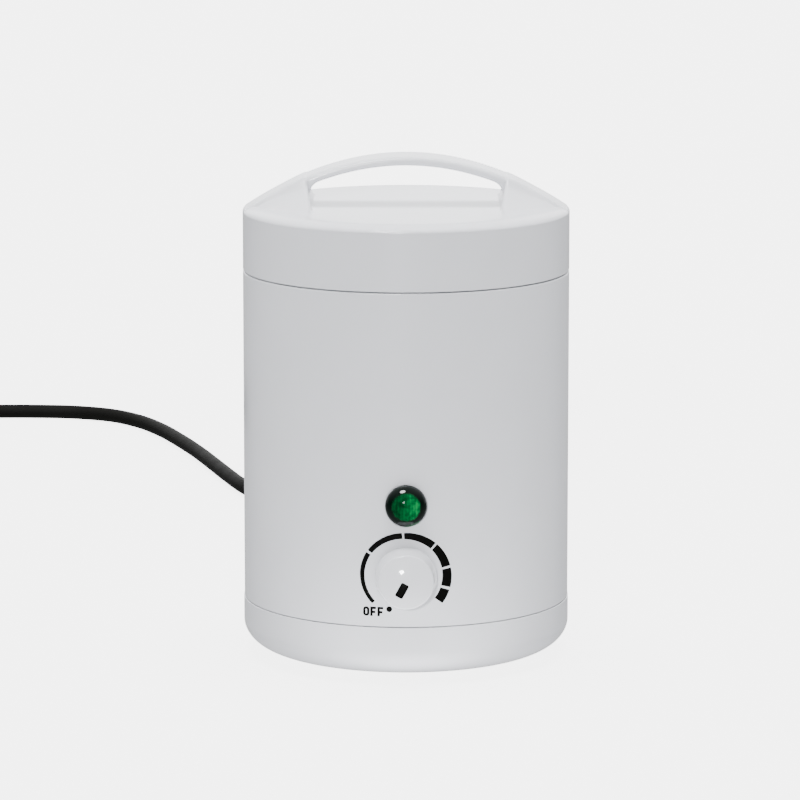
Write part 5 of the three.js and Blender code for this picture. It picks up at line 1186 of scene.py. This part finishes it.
def screw_object(name, radius, length, head_radius, head_height, cross):
    """A pan-head screw with a cross recess, its head above z = 0."""
    edge = head_height * 0.45
    head = turned(name, [
        (0, -length), (radius * 0.5, -length), (radius, radius - length), (radius, 0),
        (head_radius - edge / 3, 0), (head_radius, edge / 3),
        (head_radius, head_height - edge),
        *arc(head_radius - edge, head_height - edge, edge, edge, 8, 90, 6),
        (0, head_height + 0.06 * head_radius)], 40)
    screw = new_object(name, head)
    wide, thin = cross, cross * 0.26
    deep = head_height * 0.62
    recess = [
        prism("recess", [(-x, -y), (x, -y), (x, y), (-x, y)], head_height - deep,
              head_height + MM) for x, y in ((wide, thin), (thin, wide))]
    for mesh in recess:
        carve(screw, [new_object("recess", mesh)])
    smooth(screw.data, 35)
    return screw


class HEATER_OT_fixings(Operator):
    """Set the feet, the base screws and the well screws on their rings"""
    bl_idname = "heater.fixings"
    bl_label = "Feet and screws"

    def execute(self, context):
        base_screw = screw_object("screw", *BASE_SCREW)
        head = low("base_screw_1").z + BASE_SCREW[3]
        base_screw.data.transform(
            Matrix.Translation((0, 0, head)) @ Matrix.Rotation(math.pi, 4, "X"))
        screws = set_on_ring(
            "base_screws", base_screw, 4, SCREW_CIRCLE, SCREWS_START, 0, SCREW_TURN,
            finish("steel"))
        dress(screws, "steel", *[f"base_screw_{i}" for i in range(1, 5)])
        well_screw = screw_object("screw", *WELL_SCREW)
        screws = set_on_ring(
            "well_screws", well_screw, 3, WELL_SCREW_CIRCLE, WELL_SCREWS_START,
            FLANGE_TOP + GAP, SCREW_TURN, finish("steel"))
        dress(screws, "steel", *[f"well_screw_{i}" for i in range(1, 4)])
        top = BASE_BOTTOM - GAP
        barb = BASE_BOTTOM + BASE_WALL + GAP
        flat, edge, deep = FOOT_DIMPLE
        foot = new_object("foot", turned("foot", [
            (0, deep), (flat, deep), (edge, 0),
            *arc(FOOT_RADIUS - FOOT_EDGE, FOOT_EDGE, FOOT_EDGE, FOOT_EDGE, -90, 0, 6),
            (FOOT_RADIUS, top), (FOOT_NECK, top), (FOOT_NECK, barb), (BARB_RADIUS, barb),
            (FOOT_NECK / 2, barb + BARB_HEIGHT), (0, barb + BARB_HEIGHT)], 48))
        smooth(foot.data, 40)
        feet = set_on_ring("feet", foot, 4, FOOT_CIRCLE, 0, 0, 0, finish("black_rubber"))
        dress(feet, "rubber_black", *[f"foot_{i}" for i in range(1, 5)])
        return {"FINISHED"}


WELL_WALL = 1.2 * MM
WELL_INSIDE = 43.5 * MM
WELL_CORNER = 6 * MM
WELL_LIP = 1.2 * MM
WELL_SCREW_HOLE = 1.5 * MM
FLANGE_EDGE = 0.2 * MM


class HEATER_OT_well(Operator):
    """Spin the heating well with its flange"""
    bl_idname = "heater.well"
    bl_label = "Heating well"

    def execute(self, context):
        wall, inside, corner, lip = WELL_WALL, WELL_INSIDE, WELL_CORNER, WELL_LIP
        outside = inside + wall
        floor = WELL_UNDER + wall
        profile = [
            (0, WELL_UNDER),
            *arc(outside - corner - wall, WELL_UNDER + corner + wall, corner + wall,
                 corner + wall, -90, 0, 10),
            (outside, FLANGE_TOP - wall), (FLANGE_RADIUS, FLANGE_TOP - wall),
            (FLANGE_RADIUS, FLANGE_TOP - FLANGE_EDGE),
            (FLANGE_RADIUS - FLANGE_EDGE, FLANGE_TOP),
            *arc(inside + lip, FLANGE_TOP - lip, lip, lip, 90, 180, 8),
            *arc(inside - corner, floor + corner, corner, corner, 0, -90, 12),
            (0, floor),
        ]
        well = new_object("well", turned("well", profile, sizes().sides))
        hole = cylinder("hole", WELL_SCREW_HOLE, -MM, wall + MM, 24)
        holes = set_on_ring(
            "holes", new_object("hole", hole), 3, WELL_SCREW_CIRCLE, WELL_SCREWS_START,
            FLANGE_TOP - wall, 0, spun_aluminium())
        carve(well, [holes])
        shade_turned(well.data, profile)
        paint(well.data, spun_aluminium())
        dress(well, "aluminium", "heating_well")
        return {"FINISHED"}


# Lid: its wall and skirt are turned, and its top follows one distance rule


def round_max(a, b, radius):
    """Where two solids overlap, with the edge between their faces rounded."""
    return np.minimum(-radius, np.maximum(a, b)) + np.hypot(
        np.maximum(radius + a, 0), np.maximum(radius + b, 0))


def round_min(a, b, radius):
    """Two solids together, with the corner between their faces filled to a radius."""
    return -round_max(-a, -b, radius)


class LidRule:
    """The lid's signed distance, in metres: the cap, its two wings, its strap and its hollow."""

    SLOT_NARROWING = 2.6 * MM
    SLOT_LEAN = 1.4 * MM
    SLOT_LEAN_HEIGHT = 8 * MM
    SLOT_EDGE = 1.6 * MM
    SLOT_CORNER = 4 * MM
    STRAP_CORNER = 1.4 * MM
    RIM_EDGE = 0.7 * MM
    STEEPEST = 0.96
    RIDGE_DROP_SHARE = 0.5
    FALL_POWER = 3.4
    VALLEY = 2.5 * MM
    FOOT = MM
    FADE = 8 * MM
    SINK = 0.8 * MM
    HOLLOW_CORNER = 1.1 * MM

    def __init__(self, given):
        self.rise = given.handle_rise
        self.edge = given.lid_edge
        self.shoulder = given.lid_shoulder
        self.reach = given.handle_reach
        self.half_strap = given.strap_width / 2
        self.thickness = given.strap_thickness
        self.slot = BODY_RADIUS - given.wing_span

    def __call__(self, points):
        x, y, z = np.abs(points[:, 0]), np.abs(points[:, 1]), points[:, 2]
        from_axis = np.hypot(x, y)
        rim = BODY_RADIUS - self.edge
        arch = DECK + self.rise * (1 - (x / self.reach) ** 2)
        slope = 2 * self.rise * x / self.reach ** 2
        share = np.clip((from_axis - BODY_RADIUS + self.shoulder) / self.shoulder, 0,
                        self.STEEPEST)
        drop = self.edge * (1 - np.sqrt(1 - share ** 2))
        tilt = self.edge / self.shoulder * share / np.sqrt(1 - share ** 2)
        over_deck = z - DECK + drop
        over_arch = (z - arch) / np.sqrt(1 + slope ** 2)
        lean = self.SLOT_LEAN * (1 - np.clip((z - DECK) / self.SLOT_LEAN_HEIGHT, 0, 1))
        wall = self.slot - self.SLOT_NARROWING * (y / rim) ** 2 - lean - x
        ridge = round_max(y - self.half_strap, over_arch, self.STRAP_CORNER)

        reach = np.sqrt(np.maximum(rim ** 2 - x ** 2, 0))
        reach = np.maximum(reach, self.half_strap + MM) - self.half_strap
        out = np.clip((y - self.half_strap) / reach, 0, 1)
        crest = np.maximum(arch - DECK - self.RIDGE_DROP_SHARE * self.thickness, 0)
        fall = (1 - out) ** self.FALL_POWER
        steepness = (crest + self.SINK) * self.FALL_POWER / reach
        steepness = steepness * (1 - out) ** (self.FALL_POWER - 1)
        flank = (over_deck + self.SINK - (crest + self.SINK) * fall) / np.sqrt(1 + steepness ** 2)
        shrink = np.clip(crest / self.FADE, 0.04, 1)
        wing = round_max(round_min(ridge, flank, self.VALLEY * shrink), wall, self.SLOT_EDGE)
        opening = round_max(-wall, over_arch + self.thickness, self.SLOT_CORNER)
        strap = round_max(ridge, -opening, self.STRAP_CORNER)
        deck = over_deck / np.sqrt(1 + tilt ** 2)
        top = round_min(deck, np.minimum(wing, strap), self.FOOT * shrink)
        outer = round_max(top, from_axis - BODY_RADIUS, self.RIM_EDGE)

        inner_radius = from_axis - (BODY_RADIUS - LID_WALL)
        under_deck = round_max(z - DECK + LID_WALL, inner_radius, self.HOLLOW_CORNER)
        in_wing = round_max(wing + LID_WALL, inner_radius, self.HOLLOW_CORNER)
        return np.maximum(outer, -np.minimum(under_deck, in_wing))

    def slope(self, points, step=0.05 * MM):
        """The gradient of the distance."""
        found = np.zeros_like(points)
        for axis in range(3):
            shift = np.zeros(3)
            shift[axis] = step
            found[:, axis] = (self(points + shift) - self(points - shift)) / (2 * step)
        return found


def net(rule, lowest, highest, step):
    """Points and quads of a net over a rule's surface, drawn from its signs on a grid."""
    axes = [np.arange(a, b + step, step) for a, b in zip(lowest, highest)]
    grid = np.stack(np.meshgrid(*axes, indexing="ij"), -1)
    inside = rule(grid.reshape(-1, 3)).reshape(grid.shape[:3]) < 0
    corners = sum(
        inside[i:inside.shape[0] - 1 + i, j:inside.shape[1] - 1 + j, k:inside.shape[2] - 1 + k]
        .astype(int) for i in (0, 1) for j in (0, 1) for k in (0, 1))
    mixed = (corners > 0) & (corners < 8)
    number = np.full(mixed.shape, -1)
    number[mixed] = np.arange(mixed.sum())
    points = np.array(lowest) + (np.argwhere(mixed) + 0.5) * step
    quads = []
    for axis in range(3):
        solid = np.moveaxis(inside, axis, 0)
        cell = np.moveaxis(number, axis, 0)
        change = (solid[1:] != solid[:-1])[:, 1:-1, 1:-1]
        around = [cell[:, :-1, :-1], cell[:, 1:, :-1], cell[:, 1:, 1:], cell[:, :-1, 1:]]
        quads.append(np.stack([part[change] for part in around], 1))
    return points, np.concatenate(quads)


def settle(rule, points, steps=10, longest=0.4 * MM):
    """Moves points onto a rule's surface."""
    for _ in range(steps):
        slope = rule.slope(points)
        square = np.maximum(np.sum(slope ** 2, 1), 0.2)
        move = slope * (rule(points) / square)[:, None]
        length = np.maximum(np.linalg.norm(move, axis=1), 1e-9)
        points = points - move * np.minimum(1, longest / length)[:, None]
    return points


LID_SEAM_Z = DECK - 9 * MM
SEAM_TOLERANCE = 1e-7


def lid_wall_profiles():
    """The lid's wall below the moulded top: its outside and its inside, downwards."""
    edge = CASING_EDGE
    inside = BODY_RADIUS - LID_WALL
    skirt_inside = SKIRT_OUTSIDE - SKIRT_THICKNESS
    outer = [
        *arc(BODY_RADIUS - edge, LID_BOTTOM + edge, edge, edge, 0, -90, 5),
        (SKIRT_OUTSIDE, LID_BOTTOM), (SKIRT_OUTSIDE, SKIRT_BOTTOM + edge),
        (SKIRT_OUTSIDE - edge, SKIRT_BOTTOM)]
    inner = [
        (inside, LID_BOTTOM + 2 * SKIRT_ROOT), (skirt_inside, LID_BOTTOM + SKIRT_ROOT),
        (skirt_inside, SKIRT_BOTTOM + edge / 2), (skirt_inside + edge / 2, SKIRT_BOTTOM)]
    return outer, inner


def extend_ring(work, ring, profile):
    """Draws a ring of points on through a profile, and returns its last ring."""
    for radius, height in profile:
        lower = []
        for vertex in ring:
            angle = math.atan2(vertex.co.y, vertex.co.x)
            lower.append(work.verts.new(
                (radius * math.cos(angle), radius * math.sin(angle), height)))
        for i, vertex in enumerate(ring):
            j = (i + 1) % len(ring)
            work.faces.new((vertex, ring[j], lower[j], lower[i]))
        ring = lower
    return ring


def close_rings(work, first, second):
    """Fills the flat band between two rings that differ in their number of points."""
    def turn(ring, i):
        vertex = ring[i % len(ring)]
        return math.atan2(vertex.co.y, vertex.co.x) + FULL_TURN * (i // len(ring))

    i = j = 0
    while i < len(first) or j < len(second):
        take_first = j >= len(second) or (
            i < len(first) and turn(first, i + 1) <= turn(second, j + 1))
        a, b = first[i % len(first)], second[j % len(second)]
        if take_first:
            work.faces.new((a, first[(i + 1) % len(first)], b))
            i += 1
        else:
            work.faces.new((a, second[(j + 1) % len(second)], b))
            j += 1


class HEATER_OT_lid(Operator):
    """Mould the lid: its cap, wings and strap from one rule, and its wall and skirt below"""
    bl_idname = "heater.lid"
    bl_label = "Lid"

    def execute(self, context):
        given = sizes()
        rule = LidRule(given)
        step = given.lid_step
        reach = BODY_RADIUS + 1.5 * step
        points, quads = net(
            rule, (-reach, -reach, LID_SEAM_Z - 2 * step),
            (reach, reach, DECK + given.handle_rise + 2 * step), step)
        points = settle(rule, points)
        mesh = new_mesh("lid", points, quads)
        work = bmesh.new()
        work.from_mesh(mesh)
        cut = bmesh.ops.bisect_plane(
            work, geom=[*work.verts, *work.edges, *work.faces], dist=SEAM_TOLERANCE,
            plane_co=(0, 0, LID_SEAM_Z), plane_no=(0, 0, -1), clear_outer=True)
        seam = [v for v in cut["geom_cut"] if isinstance(v, bmesh.types.BMVert)]
        split = BODY_RADIUS - LID_WALL / 2
        outer_profile, inner_profile = lid_wall_profiles()
        rings = []
        for belongs, profile, radius in (
                (lambda r: r > split, outer_profile, BODY_RADIUS),
                (lambda r: r <= split, inner_profile, BODY_RADIUS - LID_WALL)):
            ring = [v for v in seam if belongs(math.hypot(v.co.x, v.co.y))]
            ring.sort(key=lambda v: math.atan2(v.co.y, v.co.x))
            for vertex in ring:
                scale = radius / math.hypot(vertex.co.x, vertex.co.y)
                vertex.co.x *= scale
                vertex.co.y *= scale
            rings.append(extend_ring(work, ring, profile))
        close_rings(work, *rings)
        bmesh.ops.recalc_face_normals(work, faces=work.faces)
        work.to_mesh(mesh)
        work.free()
        lid = new_object("lid_moulding", mesh, finish("white_plastic"))
        shade_turned(mesh, [(BODY_RADIUS, LID_SEAM_Z), *outer_profile, *inner_profile[::-1],
                            (BODY_RADIUS - LID_WALL, LID_SEAM_Z)])
        shade_by_rule(mesh, rule, LID_SEAM_Z)
        dress(lid, "housing_white", "lid", body="lid")
        return {"FINISHED"}


def shade_by_rule(mesh, rule, above):
    """Gives the corners over a height the normals of a rule, and leaves the others."""
    normals = vectors(mesh.corner_normals, "vector")
    vertex = numbers(mesh.loops, "vertex_index")
    places = vectors(mesh.vertices, "co")
    slope = rule.slope(places)
    slope /= np.maximum(np.linalg.norm(slope, axis=1), 1e-9)[:, None]
    ruled = places[vertex, 2] > above + 1e-6
    normals[ruled] = slope[vertex[ruled]]
    mesh.normals_split_custom_set(normals.tolist())


# Dial: arcs that grow from OFF to the hottest end, and the word with its dot, as flat prints

# Each arc's start and end in clock degrees, and its outer radius and its width at its
# start, middle and end
DIAL_ARCS = [
    (231.5, 302.2, (15.62 * MM, 16.5 * MM, 16.85 * MM), (1.4 * MM, 1.6 * MM, 1.78 * MM)),
    (305.4, 354.7, (16.85 * MM, 16.68 * MM, 16.33 * MM), (1.85 * MM, 2.05 * MM, 2.15 * MM)),
    (357.5, 400.3, (16.3 * MM, 16.38 * MM, 16.4 * MM), (2.25 * MM, 2.62 * MM, 2.8 * MM)),
    (403, 435.7, (16.4 * MM, 16.4 * MM, 16.4 * MM), (2.85 * MM, 3.05 * MM, 3.15 * MM)),
    (438.7, 464.2, (16.4 * MM, 16.42 * MM, 16.42 * MM), (3.2 * MM, 3.35 * MM, 3.45 * MM)),
    (467.7, 486.7, (16.38 * MM, 16.35 * MM, 16.3 * MM), (3.4 * MM, 3.45 * MM, 3.45 * MM))]
WORD_LEFT = -15.45 * MM
WORD_BASELINE = 25.45 * MM
LETTER_HEIGHT = 3.44 * MM
LETTER_WIDTH = 2.25 * MM
LETTER_STROKE = 0.85 * MM
LETTER_GAP = 0.33 * MM
DOT_PLACE = (-6.05 * MM, 28.14 * MM)
DOT_RADIUS = 1.05 * MM
PRINT_DEPTH = 0.02 * MM
ARC_STEP_DEGREES = 1.5


def on_casing(x, z, lift):
    """A point over the casing's front at a place seen from the front."""
    radius = BODY_RADIUS + lift
    return (x, -math.sqrt(radius ** 2 - x ** 2), z)


def band_print(inner, outer, lift, closed=False):
    """Points and faces of a thin print between two rows of (x, z) points."""
    count = len(inner)
    points = [on_casing(x, z, raised) for raised in (lift, -PRINT_DEPTH)
              for row in (inner, outer) for x, z in row]
    faces = []
    steps = count if closed else count - 1
    for i in range(steps):
        j = (i + 1) % count
        faces.append((i, j, count + j, count + i))
        faces.append((2 * count + i, 3 * count + i, 3 * count + j, 2 * count + j))
        faces.append((i, 2 * count + i, 2 * count + j, j))
        faces.append((count + i, count + j, 3 * count + j, 3 * count + i))
    if not closed:
        for i in (0, count - 1):
            faces.append((i, count + i, 3 * count + i, 2 * count + i))
    return points, faces


def clock_point(radius, degrees):
    """A point of the dial at a clock angle, seen from the front."""
    angle = math.radians(degrees)
    return (radius * math.sin(angle), DIAL.z + radius * math.cos(angle))


def dial_bands():
    """The six arcs of the dial as pairs of rows."""
    bands = []
    for start, end, radii, widths in DIAL_ARCS:
        shares = np.linspace(0, 1, int((end - start) / ARC_STEP_DEGREES) + 2)
        outer = np.polyval(np.polyfit((0, 0.5, 1), radii, 2), shares)
        inner = outer - np.polyval(np.polyfit((0, 0.5, 1), widths, 2), shares)
        clock = start + (end - start) * shares
        bands.append((
            [clock_point(*place) for place in zip(inner, clock)],
            [clock_point(*place) for place in zip(outer, clock)], False))
    return bands


def word_bands():
    """The letters O, F and F and the dot as pairs of rows."""
    bands = []
    height, width, stroke = LETTER_HEIGHT, LETTER_WIDTH, LETTER_STROKE
    x0, z0 = WORD_LEFT + width / 2, WORD_BASELINE + height / 2
    outer = round_rectangle(width, height, width * 0.46)
    inner = round_rectangle(
        width - 2 * stroke, height - 2 * stroke, (width - 2 * stroke) * 0.42)
    bands.append(([(x0 + x, z0 + z) for x, z in inner], [(x0 + x, z0 + z) for x, z in outer],
                  True))
    top, mid = WORD_BASELINE + height, WORD_BASELINE + height * 0.56
    for left in (WORD_LEFT + width + LETTER_GAP, WORD_LEFT + 2 * (width + LETTER_GAP)):
        bands.append(([(left, WORD_BASELINE), (left, top)],
                      [(left + stroke, WORD_BASELINE), (left + stroke, top)], False))
        for level, length in ((top, 0.92), (mid, 0.8)):
            right = left + width * length
            bands.append(([(left + stroke, level - stroke), (right, level - stroke)],
                          [(left + stroke, level), (right, level)], False))
    angles = np.radians(np.linspace(0, 360, 36, endpoint=False))
    dot_x, dot_z = DOT_PLACE
    rows = [[(dot_x + r * math.cos(a), dot_z + r * math.sin(a)) for a in angles]
            for r in (0.01 * MM, DOT_RADIUS)]
    bands.append((*rows, True))
    return bands


class HEATER_OT_dial_print(Operator):
    """Print the dial's arcs, the word OFF and its dot on the casing"""
    bl_idname = "heater.dial_print"
    bl_label = "Dial print"

    def execute(self, context):
        points, faces = [], []
        for inner, outer, closed in dial_bands() + word_bands():
            more_points, more_faces = band_print(inner, outer, sizes().ink, closed)
            faces += [[len(points) + i for i in face] for face in more_faces]
            points += more_points
        mesh = new_mesh("dial_print", points, faces)
        piece = new_object("dial_print", mesh, finish("print_ink"))
        dress(piece, "mark_black")
        return {"FINISHED"}


# Knob, its pointer and the lamp's lens, turned facing the front

KNOB_FOOT = BODY_RADIUS + 0.6 * MM
KNOB_APEX = -low("control_knob").y
KNOB_RADIUS = 11.2 * MM
KNOB_FACE_RADIUS = 10 * MM
KNOB_EDGE = MM
KNOB_WALL = 1.8 * MM
KNOB_HUB = 5.2 * MM
KNOB_BORE = 3.2 * MM
KNOB_HUB_RECESS = 2 * MM
KNOB_SIDES = 128
POINTER_CLOCK_DEGREES = 208
POINTER_TURN = math.radians(180 - POINTER_CLOCK_DEGREES)
POINTER_WIDTH = 2.8 * MM
POINTER_LENGTH = 5.4 * MM
POINTER_CORNER = 0.5 * MM
POINTER_OUT = 3.1 * MM
POINTER_DEPTH = 0.9 * MM
INLAY_GAP = 0.1 * MM
INLAY_RECESS = 0.03 * MM
INLAY_EDGE = 0.12 * MM
SMALL_EDGE = 0.2 * MM


def dome_height(radius, dome):
    """The height of the knob's domed face at a radius."""
    return KNOB_APEX - dome + math.sqrt(dome ** 2 - radius ** 2)


def knob_profile(dome):
    """The hollow knob's outline with its hub and its domed face."""
    face = KNOB_FACE_RADIUS - KNOB_EDGE
    roof = dome_height(face, dome) - KNOB_WALL
    hub_foot = KNOB_FOOT + KNOB_HUB_RECESS
    start = 90 - math.degrees(math.asin(face / dome))
    return [
        (0, roof - MM), (KNOB_BORE, roof - MM), (KNOB_BORE, hub_foot), (KNOB_HUB, hub_foot),
        (KNOB_HUB, roof), (KNOB_FACE_RADIUS - KNOB_WALL, roof),
        (KNOB_RADIUS - KNOB_WALL, KNOB_FOOT), (KNOB_RADIUS - SMALL_EDGE, KNOB_FOOT),
        (KNOB_RADIUS, KNOB_FOOT + SMALL_EDGE),
        *arc(face, dome_height(face, dome) - KNOB_EDGE, KNOB_EDGE, KNOB_EDGE, 4, start, 8),
        *[(face * i / 12, dome_height(face * i / 12, dome)) for i in range(11, -1, -1)],
    ]


def pointer_outline(spare):
    """The pointer's outline on the knob's face, in points of the face seen from the front."""
    outline = round_rectangle(
        POINTER_WIDTH + 2 * spare, POINTER_LENGTH + 2 * spare, POINTER_CORNER + spare)
    turn = Matrix.Rotation(POINTER_TURN, 2)
    return [tuple(turn @ Vector((x, y - POINTER_OUT))) for x, y in outline]


def inlay_mesh(outline, floor, dome, flush, edge):
    """An inlay in the knob's domed face: its sides, a round edge and a domed top."""
    centre = np.mean(outline, 0)
    rings = [(1, floor)]
    rings += [(1, None, edge * (1 - math.sin(a)), edge * (1 - math.cos(a)))
              for a in np.radians((0, 30, 60, 90))]
    points, count = [], len(outline)
    for ring in rings:
        for point in outline:
            x, y = point
            if len(ring) > 2:
                away = math.hypot(*(point - centre))
                x, y = centre + (point - centre) * (1 - ring[3] / away)
            height = dome_height(math.hypot(x, y), dome) - flush
            points.append((x, y, floor if len(ring) == 2 else height - ring[2]))
    for share in (0.7, 0.4):
        for point in outline:
            x, y = centre + (point - centre) * share
            points.append((x, y, dome_height(math.hypot(x, y), dome) - flush))
    levels = len(points) // count
    faces = [(a * count + i, a * count + (i + 1) % count,
              (a + 1) * count + (i + 1) % count, (a + 1) * count + i)
             for a in range(levels - 1) for i in range(count)]
    faces += [range(count), range((levels - 1) * count, levels * count)]
    return new_mesh("pointer", points, faces)


class HEATER_OT_knob(Operator):
    """Turn the knob and inlay its pointer"""
    bl_idname = "heater.knob"
    bl_label = "Knob"

    def execute(self, context):
        dome = sizes().knob_dome
        profile = knob_profile(dome)
        knob = new_object("knob_cap", turned("knob_cap", profile, KNOB_SIDES))
        floor = dome_height(POINTER_OUT + POINTER_LENGTH / 2, dome) - POINTER_DEPTH
        pocket = prism("pocket", pointer_outline(INLAY_GAP), floor, KNOB_APEX + MM)
        carve(knob, [new_object("pocket", pocket)])
        shade_turned(knob.data, profile)
        knob.data.transform(facing(DIAL.z))
        paint(knob.data, finish("knob_plastic"))
        dress(knob, "housing_white", "control_knob", body="knob")

        mesh = inlay_mesh(
            pointer_outline(0), floor + INLAY_GAP, dome, INLAY_RECESS, INLAY_EDGE)
        smooth(mesh, 50)
        mesh.transform(facing(DIAL.z))
        pointer = new_object("pointer", mesh, finish("pointer_paint"))
        dress(pointer, "mark_black", "knob_pointer", body="knob")
        return {"FINISHED"}


LENS_RADIUS = 7.6 * MM
LENS_RIM = 0.8 * MM
LENS_HEIGHT = 4.4 * MM
LENS_SIDES = 96
BARREL_RADIUS = 5.9 * MM
BARREL_BORE = 4.7 * MM
BARREL_LENGTH = 9 * MM


class HEATER_OT_lamp(Operator):
    """Turn the pilot lamp's domed lens with its barrel"""
    bl_idname = "heater.lamp"
    bl_label = "Pilot lamp"

    def execute(self, context):
        seat = SPOT_FACE + GAP
        barrel_end = seat - BARREL_LENGTH
        profile = [
            (0, seat), (BARREL_BORE, seat), (BARREL_BORE, barrel_end),
            (BARREL_RADIUS, barrel_end), (BARREL_RADIUS, seat),
            (LENS_RADIUS - SMALL_EDGE, seat), (LENS_RADIUS, seat + SMALL_EDGE),
            *arc(0, seat + LENS_RIM, LENS_RADIUS, LENS_HEIGHT - LENS_RIM, 0, 90, 24)[:-1],
            (0, seat + LENS_HEIGHT)]
        lens = new_object("lens", turned("lens", profile, LENS_SIDES))
        shade_turned(lens.data, profile)
        lens.data.transform(facing(LAMP.z))
        paint(lens.data, lens_green())
        dress(lens, "lens_green", "lamp_lens")
        return {"FINISHED"}


RELIEF_NECK = 5 * MM
RELIEF_FLANGE = 6.6 * MM
RELIEF_FLANGE_THICKNESS = 2 * MM
RELIEF_FLANGE_EDGE = 0.6 * MM
RELIEF_START_LENGTH = 3.2 * MM
RELIEF_PLAY = 0.1 * MM
RIB_COUNT = 3
RIB_RADIUS = 5.4 * MM
RIB_TAPER = 0.9 * MM
RIB_GROOVE = 0.6 * MM
RIB_EDGE = 0.35 * MM
RIB_SHARE = 0.7
RELIEF_LIP = 0.8 * MM
RELIEF_SIDES = 64


class HEATER_OT_strain_relief(Operator):
    """Turn the ribbed strain relief at the back"""
    bl_idname = "heater.strain_relief"
    bl_label = "Strain relief"

    def execute(self, context):
        bore = sizes().lead / 2 + RELIEF_PLAY
        neck, flange, thickness = RELIEF_NECK, RELIEF_FLANGE, RELIEF_FLANGE_THICKNESS
        corner, edge = RELIEF_FLANGE_EDGE, RIB_EDGE
        inner_face = math.sqrt(CASING_INSIDE ** 2 - flange ** 2) - GAP
        start = inner_face - thickness - RELIEF_START_LENGTH
        outer_face = BODY_RADIUS + GAP
        shoulder = outer_face + thickness
        rib = (RELIEF_TIP - shoulder) / RIB_COUNT
        ribs = []
        for i in range(RIB_COUNT):
            radius = RIB_RADIUS - RIB_TAPER * i / RIB_COUNT
            bottom = shoulder + rib * i
            top = bottom + rib * RIB_SHARE
            ribs += [(radius - edge / 2, bottom), (radius, bottom + edge / 2)]
            ribs += arc(radius - edge, top - edge, edge, edge, 0, 90, 4)
            if i + 1 < RIB_COUNT:
                ribs += [(radius - RIB_GROOVE, top), (radius - RIB_GROOVE, bottom + rib)]
        profile = [
            (bore, start), (neck, start), (neck, inner_face - thickness),
            (flange, inner_face - thickness), (flange, inner_face), (neck, inner_face),
            (neck, outer_face), (flange - SMALL_EDGE, outer_face),
            (flange, outer_face + SMALL_EDGE),
            *arc(flange - corner, shoulder - corner, corner, corner, 0, 90, 6),
            *ribs, (bore + RELIEF_LIP, RELIEF_TIP), (bore, RELIEF_TIP)]
        relief = new_object(
            "strain_relief_sleeve", turned("strain_relief_sleeve", profile, RELIEF_SIDES))
        shade_turned(relief.data, profile)
        relief.data.transform(facing(OUTLET.z, -1))
        paint(relief.data, finish("black_rubber"))
        dress(relief, "rubber_black", "strain_relief")
        return {"FINISHED"}


# Inner parts: the frame's own solids, each painted with a finish listed in a table

INNER_FINISHES = {
    "steel": ("band_clamp", "clamp_screw", "clamp_nut", "thermostat_nut", "thermostat_shaft",
              "bulb_clip", "fuse_clip", "lamp_retainer", "block_screw", "cord_clamp_screw_1",
              "cord_clamp_screw_2"),
    "glass_cloth": ("heater_band",),
    "bakelite": ("thermostat_body",),
    "nylon": ("lamp_socket", "terminal_block", "cord_clamp"),
    "neon_glass": ("neon_bulb",),
    "copper": ("sensing_bulb", "capillary_tube"),
    "fuse_metal": ("thermal_fuse",),
    "brown_wire": ("core_live", "wire_live", "lamp_lead_1"),
    "blue_wire": ("core_neutral", "lamp_lead_2"),
    "white_sleeve": ("wire_switched", "wire_fuse", "wire_neutral"),
    "lead_sheath": ("cord_tail",),
}


class HEATER_OT_inner_parts(Operator):
    """Give the heater's inner parts their finishes"""
    bl_idname = "heater.inner_parts"
    bl_label = "Inner parts"

    def execute(self, context):
        for name, members in INNER_FINISHES.items():
            for member in members:
                paint(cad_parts[member].data, finish(name))
        return {"FINISHED"}


OPERATORS = (
    HEATER_OT_stage, HEATER_OT_mains_lead, HEATER_OT_plug, HEATER_OT_casing, HEATER_OT_base,
    HEATER_OT_fixings, HEATER_OT_well, HEATER_OT_lid, HEATER_OT_dial_print, HEATER_OT_knob,
    HEATER_OT_lamp, HEATER_OT_strain_relief, HEATER_OT_inner_parts)


class HEATER_PT_pieces(Panel):
    """Lists the heater's pieces, sizes and colours"""
    bl_idname = "HEATER_PT_pieces"
    bl_label = "Wax heater"
    bl_space_type = "VIEW_3D"
    bl_region_type = "UI"
    bl_category = "Wax heater"

    def draw(self, context):
        for operator in OPERATORS:
            self.layout.operator(operator.bl_idname)
        for group in (context.scene.heater_sizes, context.scene.heater_colours,
                      context.scene.heater_studio):
            box = self.layout.box()
            for name in group.bl_rna.properties.keys():
                if name not in ("rna_type", "name"):
                    box.prop(group, name)


GROUPS = {
    "heater_sizes": HeaterSizes, "heater_colours": HeaterColours, "heater_studio": HeaterStudio}


def register():
    for group in GROUPS.values():
        bpy.utils.register_class(group)
    for name, group in GROUPS.items():
        setattr(bpy.types.Scene, name, PointerProperty(type=group))
    for operator in OPERATORS:
        bpy.utils.register_class(operator)
    bpy.utils.register_class(HEATER_PT_pieces)


def unregister():
    bpy.utils.unregister_class(HEATER_PT_pieces)
    for operator in reversed(OPERATORS):
        bpy.utils.unregister_class(operator)
    for name in GROUPS:
        delattr(bpy.types.Scene, name)
    for group in GROUPS.values():
        bpy.utils.unregister_class(group)


def main():
    register()
    bpy.ops.heater.stage()
    bpy.ops.heater.mains_lead()
    bpy.ops.heater.plug()
    bpy.ops.heater.casing()
    bpy.ops.heater.base()
    bpy.ops.heater.fixings()
    bpy.ops.heater.well()
    bpy.ops.heater.lid()
    bpy.ops.heater.dial_print()
    bpy.ops.heater.knob()
    bpy.ops.heater.lamp()
    bpy.ops.heater.strain_relief()
    bpy.ops.heater.inner_parts()


if __name__ == "__main__":
    main()
